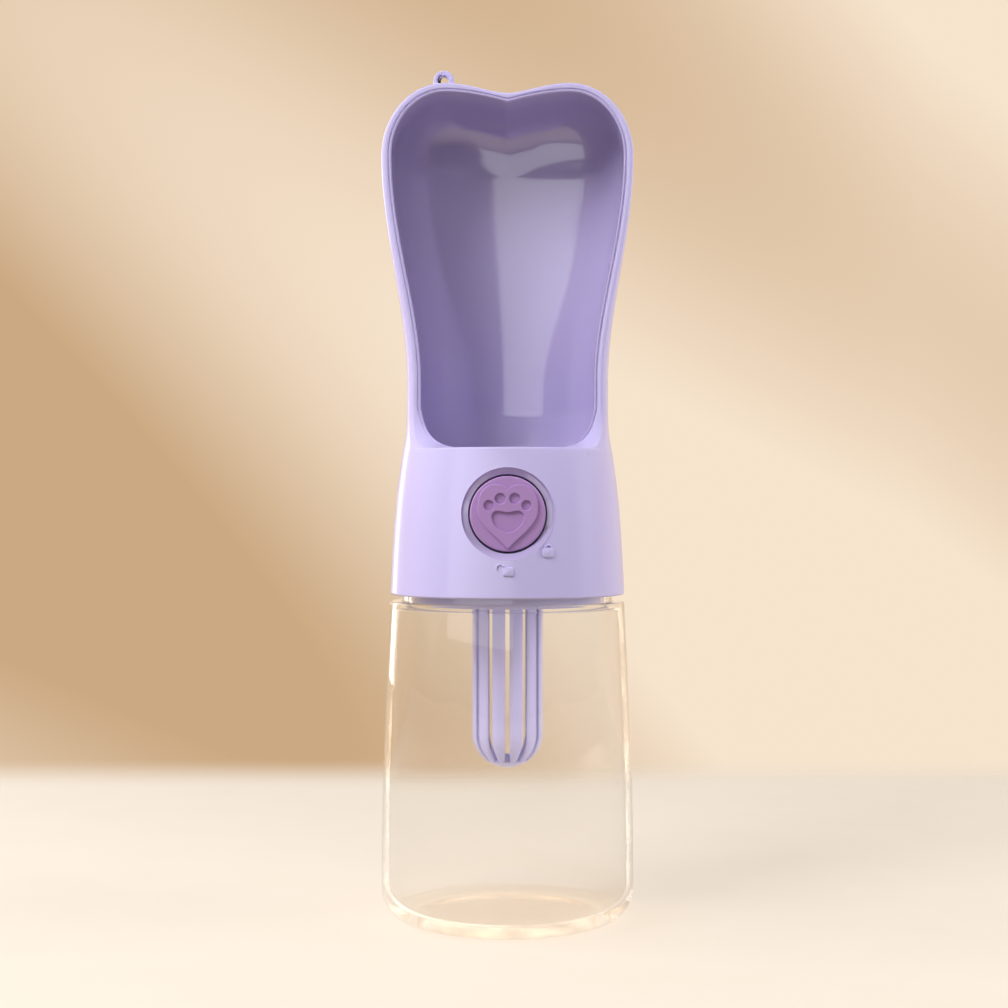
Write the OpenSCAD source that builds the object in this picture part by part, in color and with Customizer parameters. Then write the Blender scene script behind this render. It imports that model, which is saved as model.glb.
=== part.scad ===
// Dog travel water bottle: a clear bottle under a screw-on head that carries a drinking scoop.
// Pressing the front button drives a cam fork, which lowers the valve stem and lets water up
// into the scoop. Millimetres, +Z up, front towards -Y, origin under the bottle on its axis.

/* [Bottle] */
// Height of the bottle body up to its flat shoulder
body_h = 94.7; // [88:0.1:105]
// How much wider the belly is than the shoulder, on the radius
belly_swell = 2.6; // [1.5:0.1:4]
// Height of the widest place of the belly
belly_h = 22; // [16:1:30]
// Radius of the rounded corner at the foot
foot_corner = 9; // [7:0.5:12]
// Wall of the bottle body
bottle_wall = 2; // [1.5:0.1:2.4]
// Thickness of the bottle floor
bottle_floor = 2.6; // [2:0.1:3.5]
// Rise of the hollow under the foot
punt_rise = 1.2; // [0.6:0.1:1.6]
// Outer radius of the threaded neck, without its thread
neck_r = 31.4; // [30.5:0.1:33]
// Wall of the neck
neck_wall = 2.4; // [2:0.1:2.8]
// Height of the neck above the shoulder
neck_h = 9.8; // [9:0.1:12]

/* [Head] */
// Gap between the shoulder and the lower edge of the head
head_gap = 2; // [1.2:0.1:3]
// Room between neck and head for the screw thread, on the radius
thread_room = 1; // [0.8:0.1:1.4]
// Wall of the head at its lower edge
skirt_wall = 2.6; // [2.2:0.1:3]
// Wall of the head round the mechanism
head_wall = 2.4; // [2:0.1:2.6]
// How much the head narrows from its lower edge to the lip, on the radius
head_taper = 3.8; // [3:0.1:4.6]
// Thickness of the ledge that presses on the neck gasket
ledge_t = 1.8; // [1.5:0.1:2.4]
// Thickness of the scoop's floor over the mechanism
floor_t = 2.4; // [2:0.1:3]
// Height of the front lip above the scoop's floor
lip_h = 1.6; // [1.2:0.1:2.2]

/* [Scoop] */
// Height of the scoop above the lip
scoop_h = 108.2; // [100:0.5:116]
// How far the waist draws in from the lip, on the radius
waist_draw = 1.05; // [0.6:0.05:1.6]
// Wall of the scoop
scoop_wall = 2.9; // [2.4:0.1:3.4]
// Depth of the scoop's back behind the bottle's axis, at the top
scoop_back = 27.5; // [25:0.5:30]
// How far behind the foremost point of the lip the rim starts to rise
lip_flat = 9.6; // [8.5:0.1:11]
// Radius of the sweep from the lip up into the rim
rim_sweep = 11.9; // [10:0.1:13]
// Distance of each lobe's top from the middle
lobe_x = 18.5; // [17:0.1:20]
// Height of the lobes above the scoop's widest place
lobe_h = 22; // [20:0.5:24]
// Depth of the notch between the lobes
notch_depth = 3; // [2:0.1:4.5]
// Height of the round between the scoop's floor and its walls
pan_fillet = 17; // [14:0.5:20]
// How far that round reaches in over the scoop's floor
pan_round = 8; // [6:0.2:8.6]
// Radius of the lanyard eye
eye_r = 3.15; // [2.9:0.05:3.4]
// Radius of the hole in the lanyard eye
eye_hole_r = 1.5; // [1.3:0.05:1.6]
// Thickness of the lanyard eye, front to back
eye_t = 3; // [2.5:0.1:3.5]
// Distance of the lanyard eye from the middle
eye_x = 19.4; // [18:0.1:20.5]

/* [Button and lock] */
// Radius of the push button
cap_r = 10.75; // [10.4:0.05:11]
// How far the button's face lies below the head's surface
cap_sink = 1.4; // [1:0.1:1.8]
// Depth of the button cap from face to skirt edge
cap_depth = 10; // [9.6:0.1:10.6]
// Thickness of the button's face
cap_face_t = 1.8; // [1.5:0.1:2]
// Height of the heart above the button's face
heart_t = 0.7; // [0.4:0.05:0.9]
// Travel of the button, and of the valve stem that it drives
press_travel = 3.5; // [3:0.1:4]
// Turn of the button from the open padlock to the closed one, in degrees
lock_turn = 45; // [40:1:50]
// Radius of the dished ring round the button
recess_r = 13.1; // [12.8:0.05:13.3]
// Depth of the dished ring
recess_t = 1.2; // [0.8:0.1:1.4]
// Wall of the button guide
guide_wall = 1.55; // [1.4:0.05:1.8]
// Radius of the pivot post behind the button
post_r = 2.4; // [2.2:0.05:2.5]
// Gap between each cam fork cheek and the middle
fork_gap = 3.2; // [3.1:0.05:3.4]
// Thickness of each cam fork cheek
fork_t = 1.8; // [1.5:0.1:2]
// Wire of the button spring
spring_wire = 0.8; // [0.6:0.05:0.9]
// Number of turns of the button spring
spring_turns = 7; // [6:1:8]

/* [Valve and cage] */
// Radius of the valve stem
stem_r = 2; // [1.8:0.05:2.1]
// Radius of the cross pin through the stem
pin_r = 1; // [0.9:0.05:1.1]
// Radius of the water port
port_r = 4.5; // [4.2:0.1:5]
// Radius of the silicone seal that shuts the port
seal_r = 7; // [6.6:0.1:8]
// Thickness of the silicone seal
seal_t = 2.2; // [1.8:0.1:2.6]
// Bore of the riser, on the radius
riser_bore = 3; // [2.6:0.1:3.2]
// Thickness of the neck gasket
gasket_t = 1.5; // [1.2:0.1:2]
// Thickness of the cage's floor disc
cage_floor_t = 1.8; // [1.5:0.1:2.4]
// How far the cage's disc sits below the shoulder
cage_drop = 1.3; // [0.8:0.1:2]
// Outer radius of the filter cage
cage_r = 10.4; // [9.8:0.1:11.2]
// Wall of the filter cage
cage_wall = 1.5; // [1.2:0.1:1.8]
// Length of the cage below its disc, dome included
cage_len = 48.6; // [42:0.5:52]
// Number of slots round the cage
slot_count = 12; // [10:1:14]
// Width of each slot
slot_w = 1.5; // [1.1:0.1:1.7]

/* [Hidden] */
$fn = 64;

// Clearances: a turning or sliding fit, a loose space, and the bury of one solid in another
fit = 0.07;
loose = 0.3;
bury = 0.05;

// Radii, from the neck outwards and inwards
neck_bore = neck_r - neck_wall;
skirt_in = neck_r + thread_room;
base_r = skirt_in + skirt_wall;
belly_r = base_r + belly_swell;
scoop_half_w = belly_r;
lip_r = base_r - head_taper;
waist_r = lip_r - waist_draw;
rim_front = lip_r - lip_flat - rim_sweep;
cup_r = neck_bore - 1;
cup_wall = 1.4;
cup_bore = cup_r - cup_wall;
skirt_ring_r = cup_bore - 0.4;
skirt_ring_wall = 1.2;
disc_r = cup_r - 0.2;
screw_ring = disc_r - 5.4;
chassis_seal_r = screw_ring - 2.1;
ledge_bore = chassis_seal_r - 1.1;
riser_y = ledge_bore - riser_bore - 2.4;

// Heights, from the floor upwards
neck_top = body_h + neck_h;
head_z = body_h + head_gap;
ledge_z = neck_top + gasket_t;
ledge_top = ledge_z + ledge_t;
guide_bore = cap_r + loose;
guide_r = guide_bore + guide_wall;
button_z = ledge_top + 0.4 + guide_r;
ceiling_z = button_z + guide_r + 2.4;
floor_z = ceiling_z + floor_t;
lip_z = floor_z + lip_h;
top_z = lip_z + scoop_h;
widest_z = top_z - lobe_h;
disc_t = 2;
disc_z = ledge_z - disc_t;

// Shape of the head's side, from its lower edge (0) to the lip (1)
function head_side(u) = base_r - head_taper * (u + pow(u, 3)) / 2;
function head_r(z) = head_side((z - head_z) / (lip_z - head_z));
function arc_points(cx, cy, r, a0, a1, n) =
    [for (i = [0:n]) let (a = a0 + (a1 - a0) * i / n) [cx + r * cos(a), cy + r * sin(a)]];
function ease(t) = let (u = min(max(t, 0), 1)) u * u * (3 - 2 * u);
function bezier(p, n) = [for (i = [1:n]) let (t = i / n, s = 1 - t)
    s * s * s * p[0] + 3 * s * s * t * p[1] + 3 * s * t * t * p[2] + t * t * t * p[3]];

// ---------------------------------------------------------------- bottle
belly_arc = (belly_r * belly_r - base_r * base_r) / (belly_r + base_r);
function body_side(z) = belly_r - belly_arc * pow((z - belly_h) / (body_h - belly_h), 1.5);
function body_points(inset, z0, z1, n) =
    [for (i = [0:n]) let (z = z0 + (z1 - z0) * i / n) [body_side(max(z, belly_h)) - inset, z]];
foot_r = belly_r - foot_corner;
rest_r = foot_r - 3.5;
edge_round = 0.6;

module bottle() {
    color([0.93, 0.95, 0.95, 0.35])
    rotate_extrude()
    polygon(concat(
        [[0, punt_rise], [rest_r * 0.6, punt_rise * 0.85], [rest_r, 0]],
        arc_points(foot_r, foot_corner, foot_corner, -90, 0, 8),
        body_points(0, belly_h, body_h - edge_round, 10),
        [[base_r - edge_round, body_h], [neck_r, body_h], [neck_r, neck_top - edge_round],
         [neck_r - edge_round, neck_top], [neck_bore, neck_top],
         [neck_bore, body_h - bottle_wall]],
        [for (p = body_points(bottle_wall, body_h - bottle_wall, belly_h, 10)) p],
        arc_points(foot_r, punt_rise + bottle_floor + foot_corner - bottle_wall,
            foot_corner - bottle_wall, 0, -90, 8),
        [[0, punt_rise + bottle_floor]]));
}

module neck_gasket() {
    color([0.9, 0.9, 0.92])
    translate([0, 0, neck_top])
    difference() {
        cylinder(r = neck_r - 0.1, h = gasket_t);
        translate([0, 0, -1]) cylinder(r = neck_bore - 0.4, h = gasket_t + 2);
    }
}

// ---------------------------------------------------------------- scoop shell
// The scoop is one skin that runs from the rim, round the back and up to the rim again.
// Each station along the rim has a rib: a superellipse arc from the rim to the spine.
stations_sweep = 6;
stations_side = 12;
stations_lobe = 9;
stations_notch = 6;
rib_front = 3;
rib_back = 10;
sweep_z = lip_z - 0.15;
side_z = sweep_z + rim_sweep;
waist_z = lip_z + 10;
flare_z = lip_z + 0.187 * scoop_h;
pan_r = lip_r - scoop_wall;

function scoop_side(z) = waist_r + waist_draw * pow(1 - min(max((z - lip_z) / 10, 0), 1), 2)
    + (scoop_half_w - waist_r) * ease((z - flare_z) / (widest_z - flare_z));
function pan_drop(z) = let (h = min(max((floor_z + pan_fillet - z) / pan_fillet, 0), 1))
    pan_round * (1 - sqrt(1 - h * h));
function back_depth(z) = scoop_side(min(z, waist_z))
    + (scoop_back - waist_r) * ease((z - waist_z) / (widest_z - waist_z) * 1.25);
function upper(z) = ease((z - flare_z) / (widest_z - flare_z));

// A station: outline x, outline z, spine z, rim y, back depth, section power, front depth
function sweep_station(i, w) = let (
        a = 90 * i / stations_sweep,
        z = sweep_z + rim_sweep * (1 - cos(a)),
        inner = w > 0 ? w + pan_drop(max(z, lip_z)) - (z < lip_z ? bury : 0)
            : (z < lip_z ? bury : 0),
        r = scoop_side(max(z, lip_z)) - inner)
    [r, z, z, -rim_front - rim_sweep * (1 - sin(a)), back_depth(max(z, lip_z)) - inner, 2, r];
function side_station(i, w) = let (
        z = side_z + (widest_z - side_z) * i / stations_side,
        r = scoop_side(z) - w)
    [r, z, z, -rim_front, back_depth(z) - w, 2 + 0.35 * upper(z), r + 6 * upper(z)];
function lobe_station(i, w) = let (a = 90 * i / stations_lobe)
    [lobe_x + (scoop_half_w - lobe_x - w) * cos(a), widest_z + (lobe_h - w) * sin(a),
     widest_z, -rim_front, back_depth(widest_z) - w, 2.35 + 1.4 * i / stations_lobe,
     scoop_half_w - w + 6];
function notch_station(i, w) = let (u = 1 - i / stations_notch)
    [lobe_x * u,
     top_z - notch_depth * (1 - pow(sin(90 * u), 1.6 - 0.62 * w / scoop_wall)) - w,
     widest_z, -rim_front, back_depth(widest_z) - w, 3.75, scoop_half_w - w + 6];
function foot_station(w) = let (s = sweep_station(0, w))
    [s[0], sweep_z - 1, sweep_z - 1, s[3], s[4], s[5], s[6]];
function stations(w) = concat([foot_station(w)],
    [for (i = [0:stations_sweep - 1]) sweep_station(i, w)],
    [for (i = [0:stations_side]) side_station(i, w)],
    [for (i = [1:stations_lobe]) lobe_station(i, w)],
    [for (i = [1:stations_notch]) notch_station(i, w)]);

function rib_point(s, c, y) = [s[0] * c, y, s[2] + (s[1] - s[2]) * c];
function rib_ahead(s, y) = rib_point(s, pow(1 - pow(-y / s[6], s[5]), 1 / s[5]), y);
function rib_behind(s, a) = rib_point(s, pow(cos(a), 2 / s[5]), s[4] * pow(sin(a), 2 / s[5]));
// Points from the spine to the rim, and the rim's own y moved back by the edge round
function rib(s, back) = concat(
    [for (i = [0:rib_back - 1]) rib_behind(s, 90 - 90 * i / rib_back)],
    [for (i = [0:rib_front - 1]) rib_ahead(s, s[3] * i / rib_front)],
    [rib_ahead(s, s[3] + back)]);

rim_edge = 0.8;
rim_bead = 0.5;
function station_loop(o, n) = let (
        front_o = rib_ahead(o, o[3]),
        front_n = rib_ahead(n, n[3]),
        right = concat(rib(o, rim_edge),
            [front_o + (front_n - front_o) * rim_edge / scoop_wall,
             front_n + (front_o - front_n) * rim_bead / scoop_wall],
            [for (p = [for (q = rib(n, rim_bead)) q]) p]))
    right;

rib_len = rib_back + rib_front + 1;
half_len = 2 * rib_len + 2;
// Order along one half: outer spine to rim, two rim points, then the inner rib spine to rim
function half_index(j) = j < rib_len + 2 ? j : half_len - 1 - (j - rib_len - 2);

module scoop_shell() {
    outer = stations(0);
    inner = stations(scoop_wall);
    count = len(outer);
    fan = 1 + stations_sweep + stations_side;
    halves = [for (i = [0:count - 1]) let (h = station_loop(outer[i], inner[i]))
        [for (j = [0:half_len - 1]) h[half_index(j)]]];
    points = [for (h = halves) each concat(h, [for (p = h) [-p[0], p[1], p[2]]])];
    // Spine points are shared by both halves, the fan of ribs by all its stations, and the
    // last station lies in the middle plane, so its two halves are one
    function at(i, j, side) = let (
            spine = j == 0 || j == half_len - 1,
            row = spine && i > fan ? fan : i,
            left = side == 1 && !spine && i < count - 1)
        row * 2 * half_len + j + (left ? half_len : 0);
    quads = [for (i = [0:count - 2], j = [0:half_len - 2], side = [0, 1])
        side == 0 ? [at(i, j, 0), at(i, j + 1, 0), at(i + 1, j + 1, 0), at(i + 1, j, 0)]
            : [at(i, j, 1), at(i + 1, j, 1), at(i + 1, j + 1, 1), at(i, j + 1, 1)]];
    foot = [for (j = [0:rib_len], side = [0, 1]) let (k = half_len - 1 - j)
        side == 0 ? [at(0, j, 0), at(0, k, 0), at(0, k - 1, 0), at(0, j + 1, 0)]
            : [at(0, j, 1), at(0, j + 1, 1), at(0, k - 1, 1), at(0, k, 1)]];
    tris = [for (q = concat(quads, foot)) each [[q[0], q[1], q[2]], [q[0], q[2], q[3]]]];
    polyhedron(points, [for (t = tris) if (t[0] != t[1] && t[1] != t[2] && t[2] != t[0]) t]);
}

// ---------------------------------------------------------------- head
module in_button_frame() {
    translate([0, 0, button_z]) rotate([90, 0, 0]) children();
}

module rod(r, from, to) {
    translate([0, 0, from]) cylinder(r = r, h = to - from);
}

module tube(r_out, r_in, from, to) {
    difference() {
        rod(r_out, from, to);
        rod(r_in, from - 1, to + 1);
    }
}

module head_body(inset) {
    rotate_extrude()
    polygon(concat([[0, head_z]],
        [for (i = [0:14]) let (z = head_z + (lip_z - head_z) * i / 14) [head_r(z) - inset, z]],
        [[0, lip_z]]));
}

cap_face = head_r(button_z) - cap_sink;
boss_back = cap_face - 5.2;
boss_r = guide_r + 0.6;
ear_back = boss_back - 2.5;
ear_r = 2.3;
ear_x = guide_r + ear_r + loose;
guide_screw_r = 0.9;
chassis_screw_r = 1.1;
chassis_boss_r = 2.6;
chassis_boss_h = 5.7;
eye_y = 10;
eye_z = top_z + 4.6;

module head_walls() {
    rotate_extrude()
    polygon(concat(
        [for (i = [0:14]) let (z = head_z + (lip_z - head_z) * i / 14) [head_r(z), z]],
        [for (i = [0:5]) let (z = lip_z - lip_h * i / 5) [pan_r - pan_drop(z), z]],
        [[0, floor_z], [0, ceiling_z], [head_r(ceiling_z) - head_wall - 0.8, ceiling_z]],
        [for (i = [0:6]) let (z = ceiling_z - 0.8 - (ceiling_z - 0.8 - ledge_top) * i / 6)
            [head_r(z) - head_wall, z]],
        [[ledge_bore, ledge_top], [ledge_bore, ledge_z], [skirt_in, ledge_z],
         [skirt_in, head_z]]));
}

module scoop_head() {
    color([0.80, 0.75, 0.93])
    union() {
        difference() {
            union() {
                head_walls();
                intersection() {
                    in_button_frame() rod(boss_r, boss_back, base_r);
                    head_body(1);
                }
                for (s = [-1, 1])
                    in_button_frame() translate([s * ear_x, 0, 0]) rod(ear_r, ear_back, boss_back + 1.5);
                for (a = [45:90:315])
                    rotate([0, 0, a]) translate([screw_ring, 0, 0])
                    rod(chassis_boss_r, ledge_z + 0.5, ledge_top + chassis_boss_h);
            }
            in_button_frame() rod(guide_bore, boss_back - 2, base_r + 5);
            difference() {
                in_button_frame() rod(recess_r, boss_back + 1, base_r + 5);
                head_body(recess_t);
            }
            for (s = [-1, 1])
                in_button_frame() translate([s * ear_x, 0, 0])
                rod(guide_screw_r + bury, ear_back - 1, boss_back + 1.2);
            for (a = [45:90:315])
                rotate([0, 0, a]) translate([screw_ring, 0, 0])
                rod(chassis_screw_r + bury, ledge_z - 1, ledge_top + chassis_boss_h - 1);
            translate([0, riser_y, 0]) rod(riser_bore + 1, ceiling_z - 1, floor_z + 1);
        }
        scoop_shell();
        lanyard_eye();
    }
}

module lanyard_eye() {
    translate([-eye_x, eye_y + eye_t / 2, 0])
    rotate([90, 0, 0])
    difference() {
        union() {
            translate([0, eye_z, 0]) cylinder(r = eye_r, h = eye_t);
            translate([-eye_r * 0.97, top_z - 2, 0])
            cube([eye_r * 1.94, eye_z - top_z + 2, eye_t]);
        }
        translate([0, eye_z, -1]) cylinder(r = eye_hole_r, h = eye_t + 2);
    }
}

grommet_lip = 0.6;
module outlet_grommet() {
    color([0.9, 0.9, 0.92])
    translate([0, riser_y, 0])
    difference() {
        union() {
            rod(riser_bore + 1.6, ceiling_z - 1, ceiling_z);
            rod(riser_bore + 1, ceiling_z - 0.5, floor_z + 0.3);
            rod(riser_bore + 1.9, floor_z, floor_z + grommet_lip);
        }
        rod(riser_bore - 0.4, ceiling_z - 2, floor_z + 2);
    }
}

// ---------------------------------------------------------------- valve chassis
boss_top = ledge_top + 6.7;
boss_bore_top = boss_top - 4;
wiper_r = stem_r + 1.9;
wiper_floor = boss_top - 3;
ring_r = 0.9;
duct_z = ledge_top + 0.3;
duct_r = 2.3;
chassis_boss = 7;
seal_groove = 0.5;
cage_ring_r = 0.55;
cage_ring_z = disc_z - 4;

module valve_chassis() {
    color([0.55, 0.50, 0.70])
    difference() {
        union() {
            rod(disc_r, disc_z, ledge_z);
            tube(skirt_ring_r, skirt_ring_r - skirt_ring_wall, disc_z - 6.5, disc_z + 0.5);
            rod(chassis_boss, ledge_z - 0.5, boss_top);
            translate([-4.2, 0, ledge_z - 0.5]) cube([8.4, riser_y, boss_top - 2 - ledge_z]);
            translate([0, riser_y, 0]) rod(riser_bore + 1.6, ledge_z - 0.5, ceiling_z - 1);
        }
        rod(port_r, disc_z - 1, boss_bore_top);
        rod(stem_r + fit, boss_bore_top - 1, boss_top + 1);
        rod(wiper_r, wiper_floor, boss_top + 1);
        translate([0, 0, duct_z]) rotate([-90, 0, 0]) cylinder(r = duct_r, h = riser_y);
        translate([0, riser_y, 0]) rod(riser_bore, duct_z - duct_r - 0.2, ceiling_z);
        tube(chassis_seal_r + seal_groove + 0.1, chassis_seal_r - seal_groove - 0.1,
            ledge_z - 2 * seal_groove, ledge_z + 1);
        for (a = [45:90:315])
            rotate([0, 0, a]) translate([screw_ring, 0, 0])
            rod(chassis_screw_r + 0.2, disc_z - 1, ledge_z + 1);
        tube(skirt_ring_r + 1, skirt_ring_r - 0.8, cage_ring_z - 0.6, cage_ring_z + 0.6);
    }
}

module o_ring(ring, wire) {
    rotate_extrude() translate([ring, 0]) circle(r = wire, $fn = 32);
}

module chassis_seal() {
    color([0.2, 0.2, 0.22])
    translate([0, 0, ledge_z - seal_groove]) o_ring(chassis_seal_r, seal_groove);
}

module chassis_screws() {
    color([0.75, 0.76, 0.78])
    for (a = [45:90:315])
        rotate([0, 0, a]) translate([screw_ring, 0, 0]) {
            rod(chassis_screw_r, disc_z - 0.7, ledge_top + chassis_boss_h - 1.5);
            rod(2.2, disc_z - 1.4, disc_z);
        }
}

module stem_o_ring() {
    color([0.2, 0.2, 0.22])
    translate([0, 0, wiper_floor + ring_r]) o_ring(stem_r + 0.04 + ring_r, ring_r);
}

module wiper_bush() {
    color([0.85, 0.85, 0.86])
    tube(wiper_r - 0.02, stem_r + fit, wiper_floor + 2 * ring_r + 0.05, boss_top);
}

module cage_o_ring() {
    color([0.2, 0.2, 0.22])
    translate([0, 0, cage_ring_z]) o_ring(cup_bore - 0.1 - cage_ring_r, cage_ring_r);
}

// ---------------------------------------------------------------- filter cage
cage_top = body_h - cage_drop;
cage_dome_z = cage_top - cage_len + cage_r;
cage_flare = 1.4;
slot_start = 0.6;

module filter_cage() {
    color([0.68, 0.63, 0.80])
    difference() {
        union() {
            rotate_extrude()
            polygon(concat(
                [[0, cage_dome_z - cage_r]],
                [for (i = [1:8]) let (a = -90 + 90 * i / 8)
                    [cage_r * cos(a), cage_dome_z + cage_r * sin(a)]],
                [for (i = [0:5]) let (a = 90 * i / 5)
                    [cage_r + cage_flare * (1 - cos(a)),
                     cage_top - cage_flare + cage_flare * sin(a)]],
                [[cup_r, cage_top], [cup_r, disc_z - 0.4], [cup_bore, disc_z - 0.4],
                 [cup_bore, cage_top + cage_floor_t],
                 [cage_r - cage_wall, cage_top + cage_floor_t]],
                [for (i = [0:8]) let (a = -90 * i / 8)
                    [(cage_r - cage_wall) * cos(a),
                     cage_dome_z + (cage_r - cage_wall) * sin(a)]]));
        }
        for (i = [0:slot_count - 1])
            rotate([0, 0, i * 360 / slot_count - 90])
            translate([cage_r * slot_start, -slot_w / 2, cage_dome_z - cage_r - 1])
            cube([cage_r, slot_w, cage_top - cage_dome_z + cage_r + 1]);
    }
}

// ---------------------------------------------------------------- button
cap_edge = cap_face - cap_depth;
cap_bore = cap_r - 1.75;
cap_ring_r = 0.5;
cap_ring_at = cap_face - 3.8;
plate_front = cap_face - 4.5;
plate_t = 2;
plate_back = plate_front - plate_t;
clip_t = 0.6;
tab_from = cap_edge + 0.4;
tab_t = 1.8;
tab_r = cap_r + 1.25;
pin_rise = 1;
fork_low = -5.2;
fork_high = 4.4;
fork_end = -5;
guide_back = ear_back - 14;
guide_plate = 1.5;

// Right half of the heart and of the pad, from the middle of the top to the middle of the foot
heart_half = concat([[0, 7.1]],
    bezier([[0, 7.1], [1.2, 8.2], [2.4, 8.4], [3.7, 8.4]], 5),
    bezier([[3.7, 8.4], [6.6, 8.4], [8.6, 5.4], [8.6, 1.6]], 6),
    bezier([[8.6, 1.6], [8.6, -3.2], [3.4, -6.2], [0, -10.1]], 8));
pad_half = concat([[0, 0.7]],
    bezier([[0, 0.7], [1.4, 0.8], [2.2, 1.2], [3.2, 1.2]], 4),
    bezier([[3.2, 1.2], [4.4, 1.2], [4.9, 0.2], [4.8, -0.8]], 5),
    bezier([[4.8, -0.8], [4.4, -3.6], [2, -5.4], [0, -5.4]], 6));

module both_halves(half) {
    polygon(concat(half, [for (i = [len(half) - 2:-1:1]) [-half[i][0], half[i][1]]]));
}

module paw_cut() {
    both_halves(pad_half);
    for (s = [-1, 1]) {
        translate([s * 5.3, 2.15]) circle(r = 1.52);
        translate([s * 2.05, 4.15]) circle(r = 1.64);
    }
}

module button_cap() {
    color([0.68, 0.52, 0.74])
    in_button_frame() {
        difference() {
            union() {
                rod(cap_r, cap_edge, cap_face - 0.4);
                translate([0, 0, cap_face - 0.4]) cylinder(r1 = cap_r, r2 = cap_r - 0.4, h = 0.4);
                for (s = [-1, 1])
                    translate([-2, s > 0 ? cap_r - 0.6 : -tab_r, tab_from])
                    cube([4, tab_r - cap_r + 0.6, tab_t]);
            }
            rod(cap_bore, cap_edge - 1, cap_face - cap_face_t);
            tube(cap_r + 1, cap_r - 0.8, cap_ring_at - 0.55, cap_ring_at + 0.55);
        }
        difference() {
            union() {
                rod(post_r, plate_back - 1.4, cap_face - cap_face_t + 0.2);
                rod(post_r + 1.6, plate_front + bury, cap_face - cap_face_t + 0.2);
            }
            tube(post_r + 1, post_r - 0.7, plate_back - clip_t - 0.1, plate_back - 0.05);
        }
        translate([0, 0, cap_face]) linear_extrude(heart_t) difference() {
            both_halves(heart_half);
            paw_cut();
        }
    }
}

module cap_o_ring() {
    color([0.2, 0.2, 0.22])
    in_button_frame() translate([0, 0, cap_ring_at]) o_ring(cap_r + 0.23 - cap_ring_r, cap_ring_r);
}

module cap_clip() {
    color([0.75, 0.76, 0.78])
    in_button_frame() tube(post_r + 0.55, post_r - 0.7, plate_back - clip_t - 0.05, plate_back - 0.1);
}

module cam_slot() {
    slot_half = pin_r + fit;
    long = press_travel * sqrt(2) + 2 * slot_half + 0.1;
    translate([0, pin_rise - press_travel / 2, press_travel / 2])
    rotate([45, 0, 0])
    cube([40, 2 * slot_half, long], center = true);
}

module cam_plunger() {
    color([0.88, 0.87, 0.90])
    in_button_frame() difference() {
        union() {
            rod(cap_bore - loose, plate_back, plate_front);
            for (s = [-1, 1])
                translate([s > 0 ? fork_gap : -fork_gap - fork_t, fork_low, fork_end])
                cube([fork_t, fork_high - fork_low, plate_back - fork_end + 0.5]);
            translate([-fork_gap - fork_t, fork_low, fork_end])
            cube([2 * (fork_gap + fork_t), fork_high - fork_low, 1.6]);
        }
        rod(post_r + fit, plate_back - 1, plate_front + 1);
        cam_slot();
    }
}

module button_guide() {
    color([0.80, 0.78, 0.86])
    in_button_frame() difference() {
        union() {
            rod(guide_r, guide_back, boss_back);
            for (s = [-1, 1]) {
                translate([s * ear_x, 0, 0]) rod(ear_r, ear_back - 2, ear_back);
                translate([s > 0 ? guide_r - 0.5 : -ear_x, -2, ear_back - 2])
                cube([ear_x - guide_r + 0.5, 4, 2]);
            }
        }
        rod(guide_bore, guide_back + guide_plate, boss_back + 1);
        translate([-fork_gap - fork_t - loose, fork_low - 0.4, guide_back - 1])
        cube([2 * (fork_gap + fork_t + loose), fork_high - fork_low + 0.8, guide_plate + 2]);
        for (a = [79, 259])
            translate([0, 0, tab_from - press_travel - 0.3])
            rotate([0, 0, a])
            rotate_extrude(angle = lock_turn + 22)
            translate([guide_bore - 1, 0]) square([guide_wall + 2, press_travel + tab_t + 0.6]);
        for (s = [-1, 1])
            translate([s * ear_x, 0, 0]) rod(guide_screw_r + 0.15, ear_back - 3, ear_back + 1);
    }
}

module guide_screws() {
    color([0.75, 0.76, 0.78])
    in_button_frame() for (s = [-1, 1]) translate([s * ear_x, 0, 0]) {
        rod(guide_screw_r, ear_back - 2.6, boss_back + 0.8);
        rod(1.9, ear_back - 3.2, ear_back - 2);
    }
}

// A round wire wound on a helix, with a ring of six points at each of eight places a turn
spring_r = 8;
spring_from = guide_back + guide_plate + spring_wire / 2 + 0.05;
spring_to = plate_back - spring_wire / 2 - 0.05;
spring_steps = 8 * spring_turns;
function coil(i) = let (a = 360 * i / 8)
    [spring_r * cos(a), spring_r * sin(a), spring_from + (spring_to - spring_from) * i / spring_steps];
function coil_ring(i) = let (a = 360 * i / 8, c = coil(i), out = [cos(a), sin(a), 0])
    [for (k = [0:5]) c + spring_wire / 2 * (out * cos(60 * k) + [0, 0, 1] * sin(60 * k))];
spring_gap = min([for (i = [0:spring_steps - 6], j = [i + 6:min(i + 10, spring_steps)])
    norm(coil(i) - coil(j))]) - spring_wire;
echo(str("button_spring: least gap between turns ", spring_gap, " mm"));

module button_spring() {
    color([0.75, 0.76, 0.78])
    in_button_frame()
    polyhedron(
        [for (i = [0:spring_steps]) each coil_ring(i)],
        concat(
            [for (i = [0:spring_steps - 1], k = [0:5]) let (n = (k + 1) % 6)
                each [[6 * i + k, 6 * i + n, 6 * i + 6 + n], [6 * i + k, 6 * i + 6 + n, 6 * i + 6 + k]]],
            [for (k = [1:4]) [0, k + 1, k]],
            [for (k = [1:4]) [6 * spring_steps, 6 * spring_steps + k, 6 * spring_steps + k + 1]]));
}

// ---------------------------------------------------------------- valve
pin_z = button_z + pin_rise;
spigot_r = stem_r - 0.5;
module valve_stem() {
    color([0.88, 0.87, 0.90])
    difference() {
        union() {
            rod(stem_r, disc_z, pin_z + 2.4);
            rod(spigot_r, disc_z - seal_t - 2.4, disc_z + 0.5);
        }
        translate([-5, 0, pin_z]) rotate([0, 90, 0]) cylinder(r = pin_r + 0.02, h = 10);
    }
}

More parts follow.
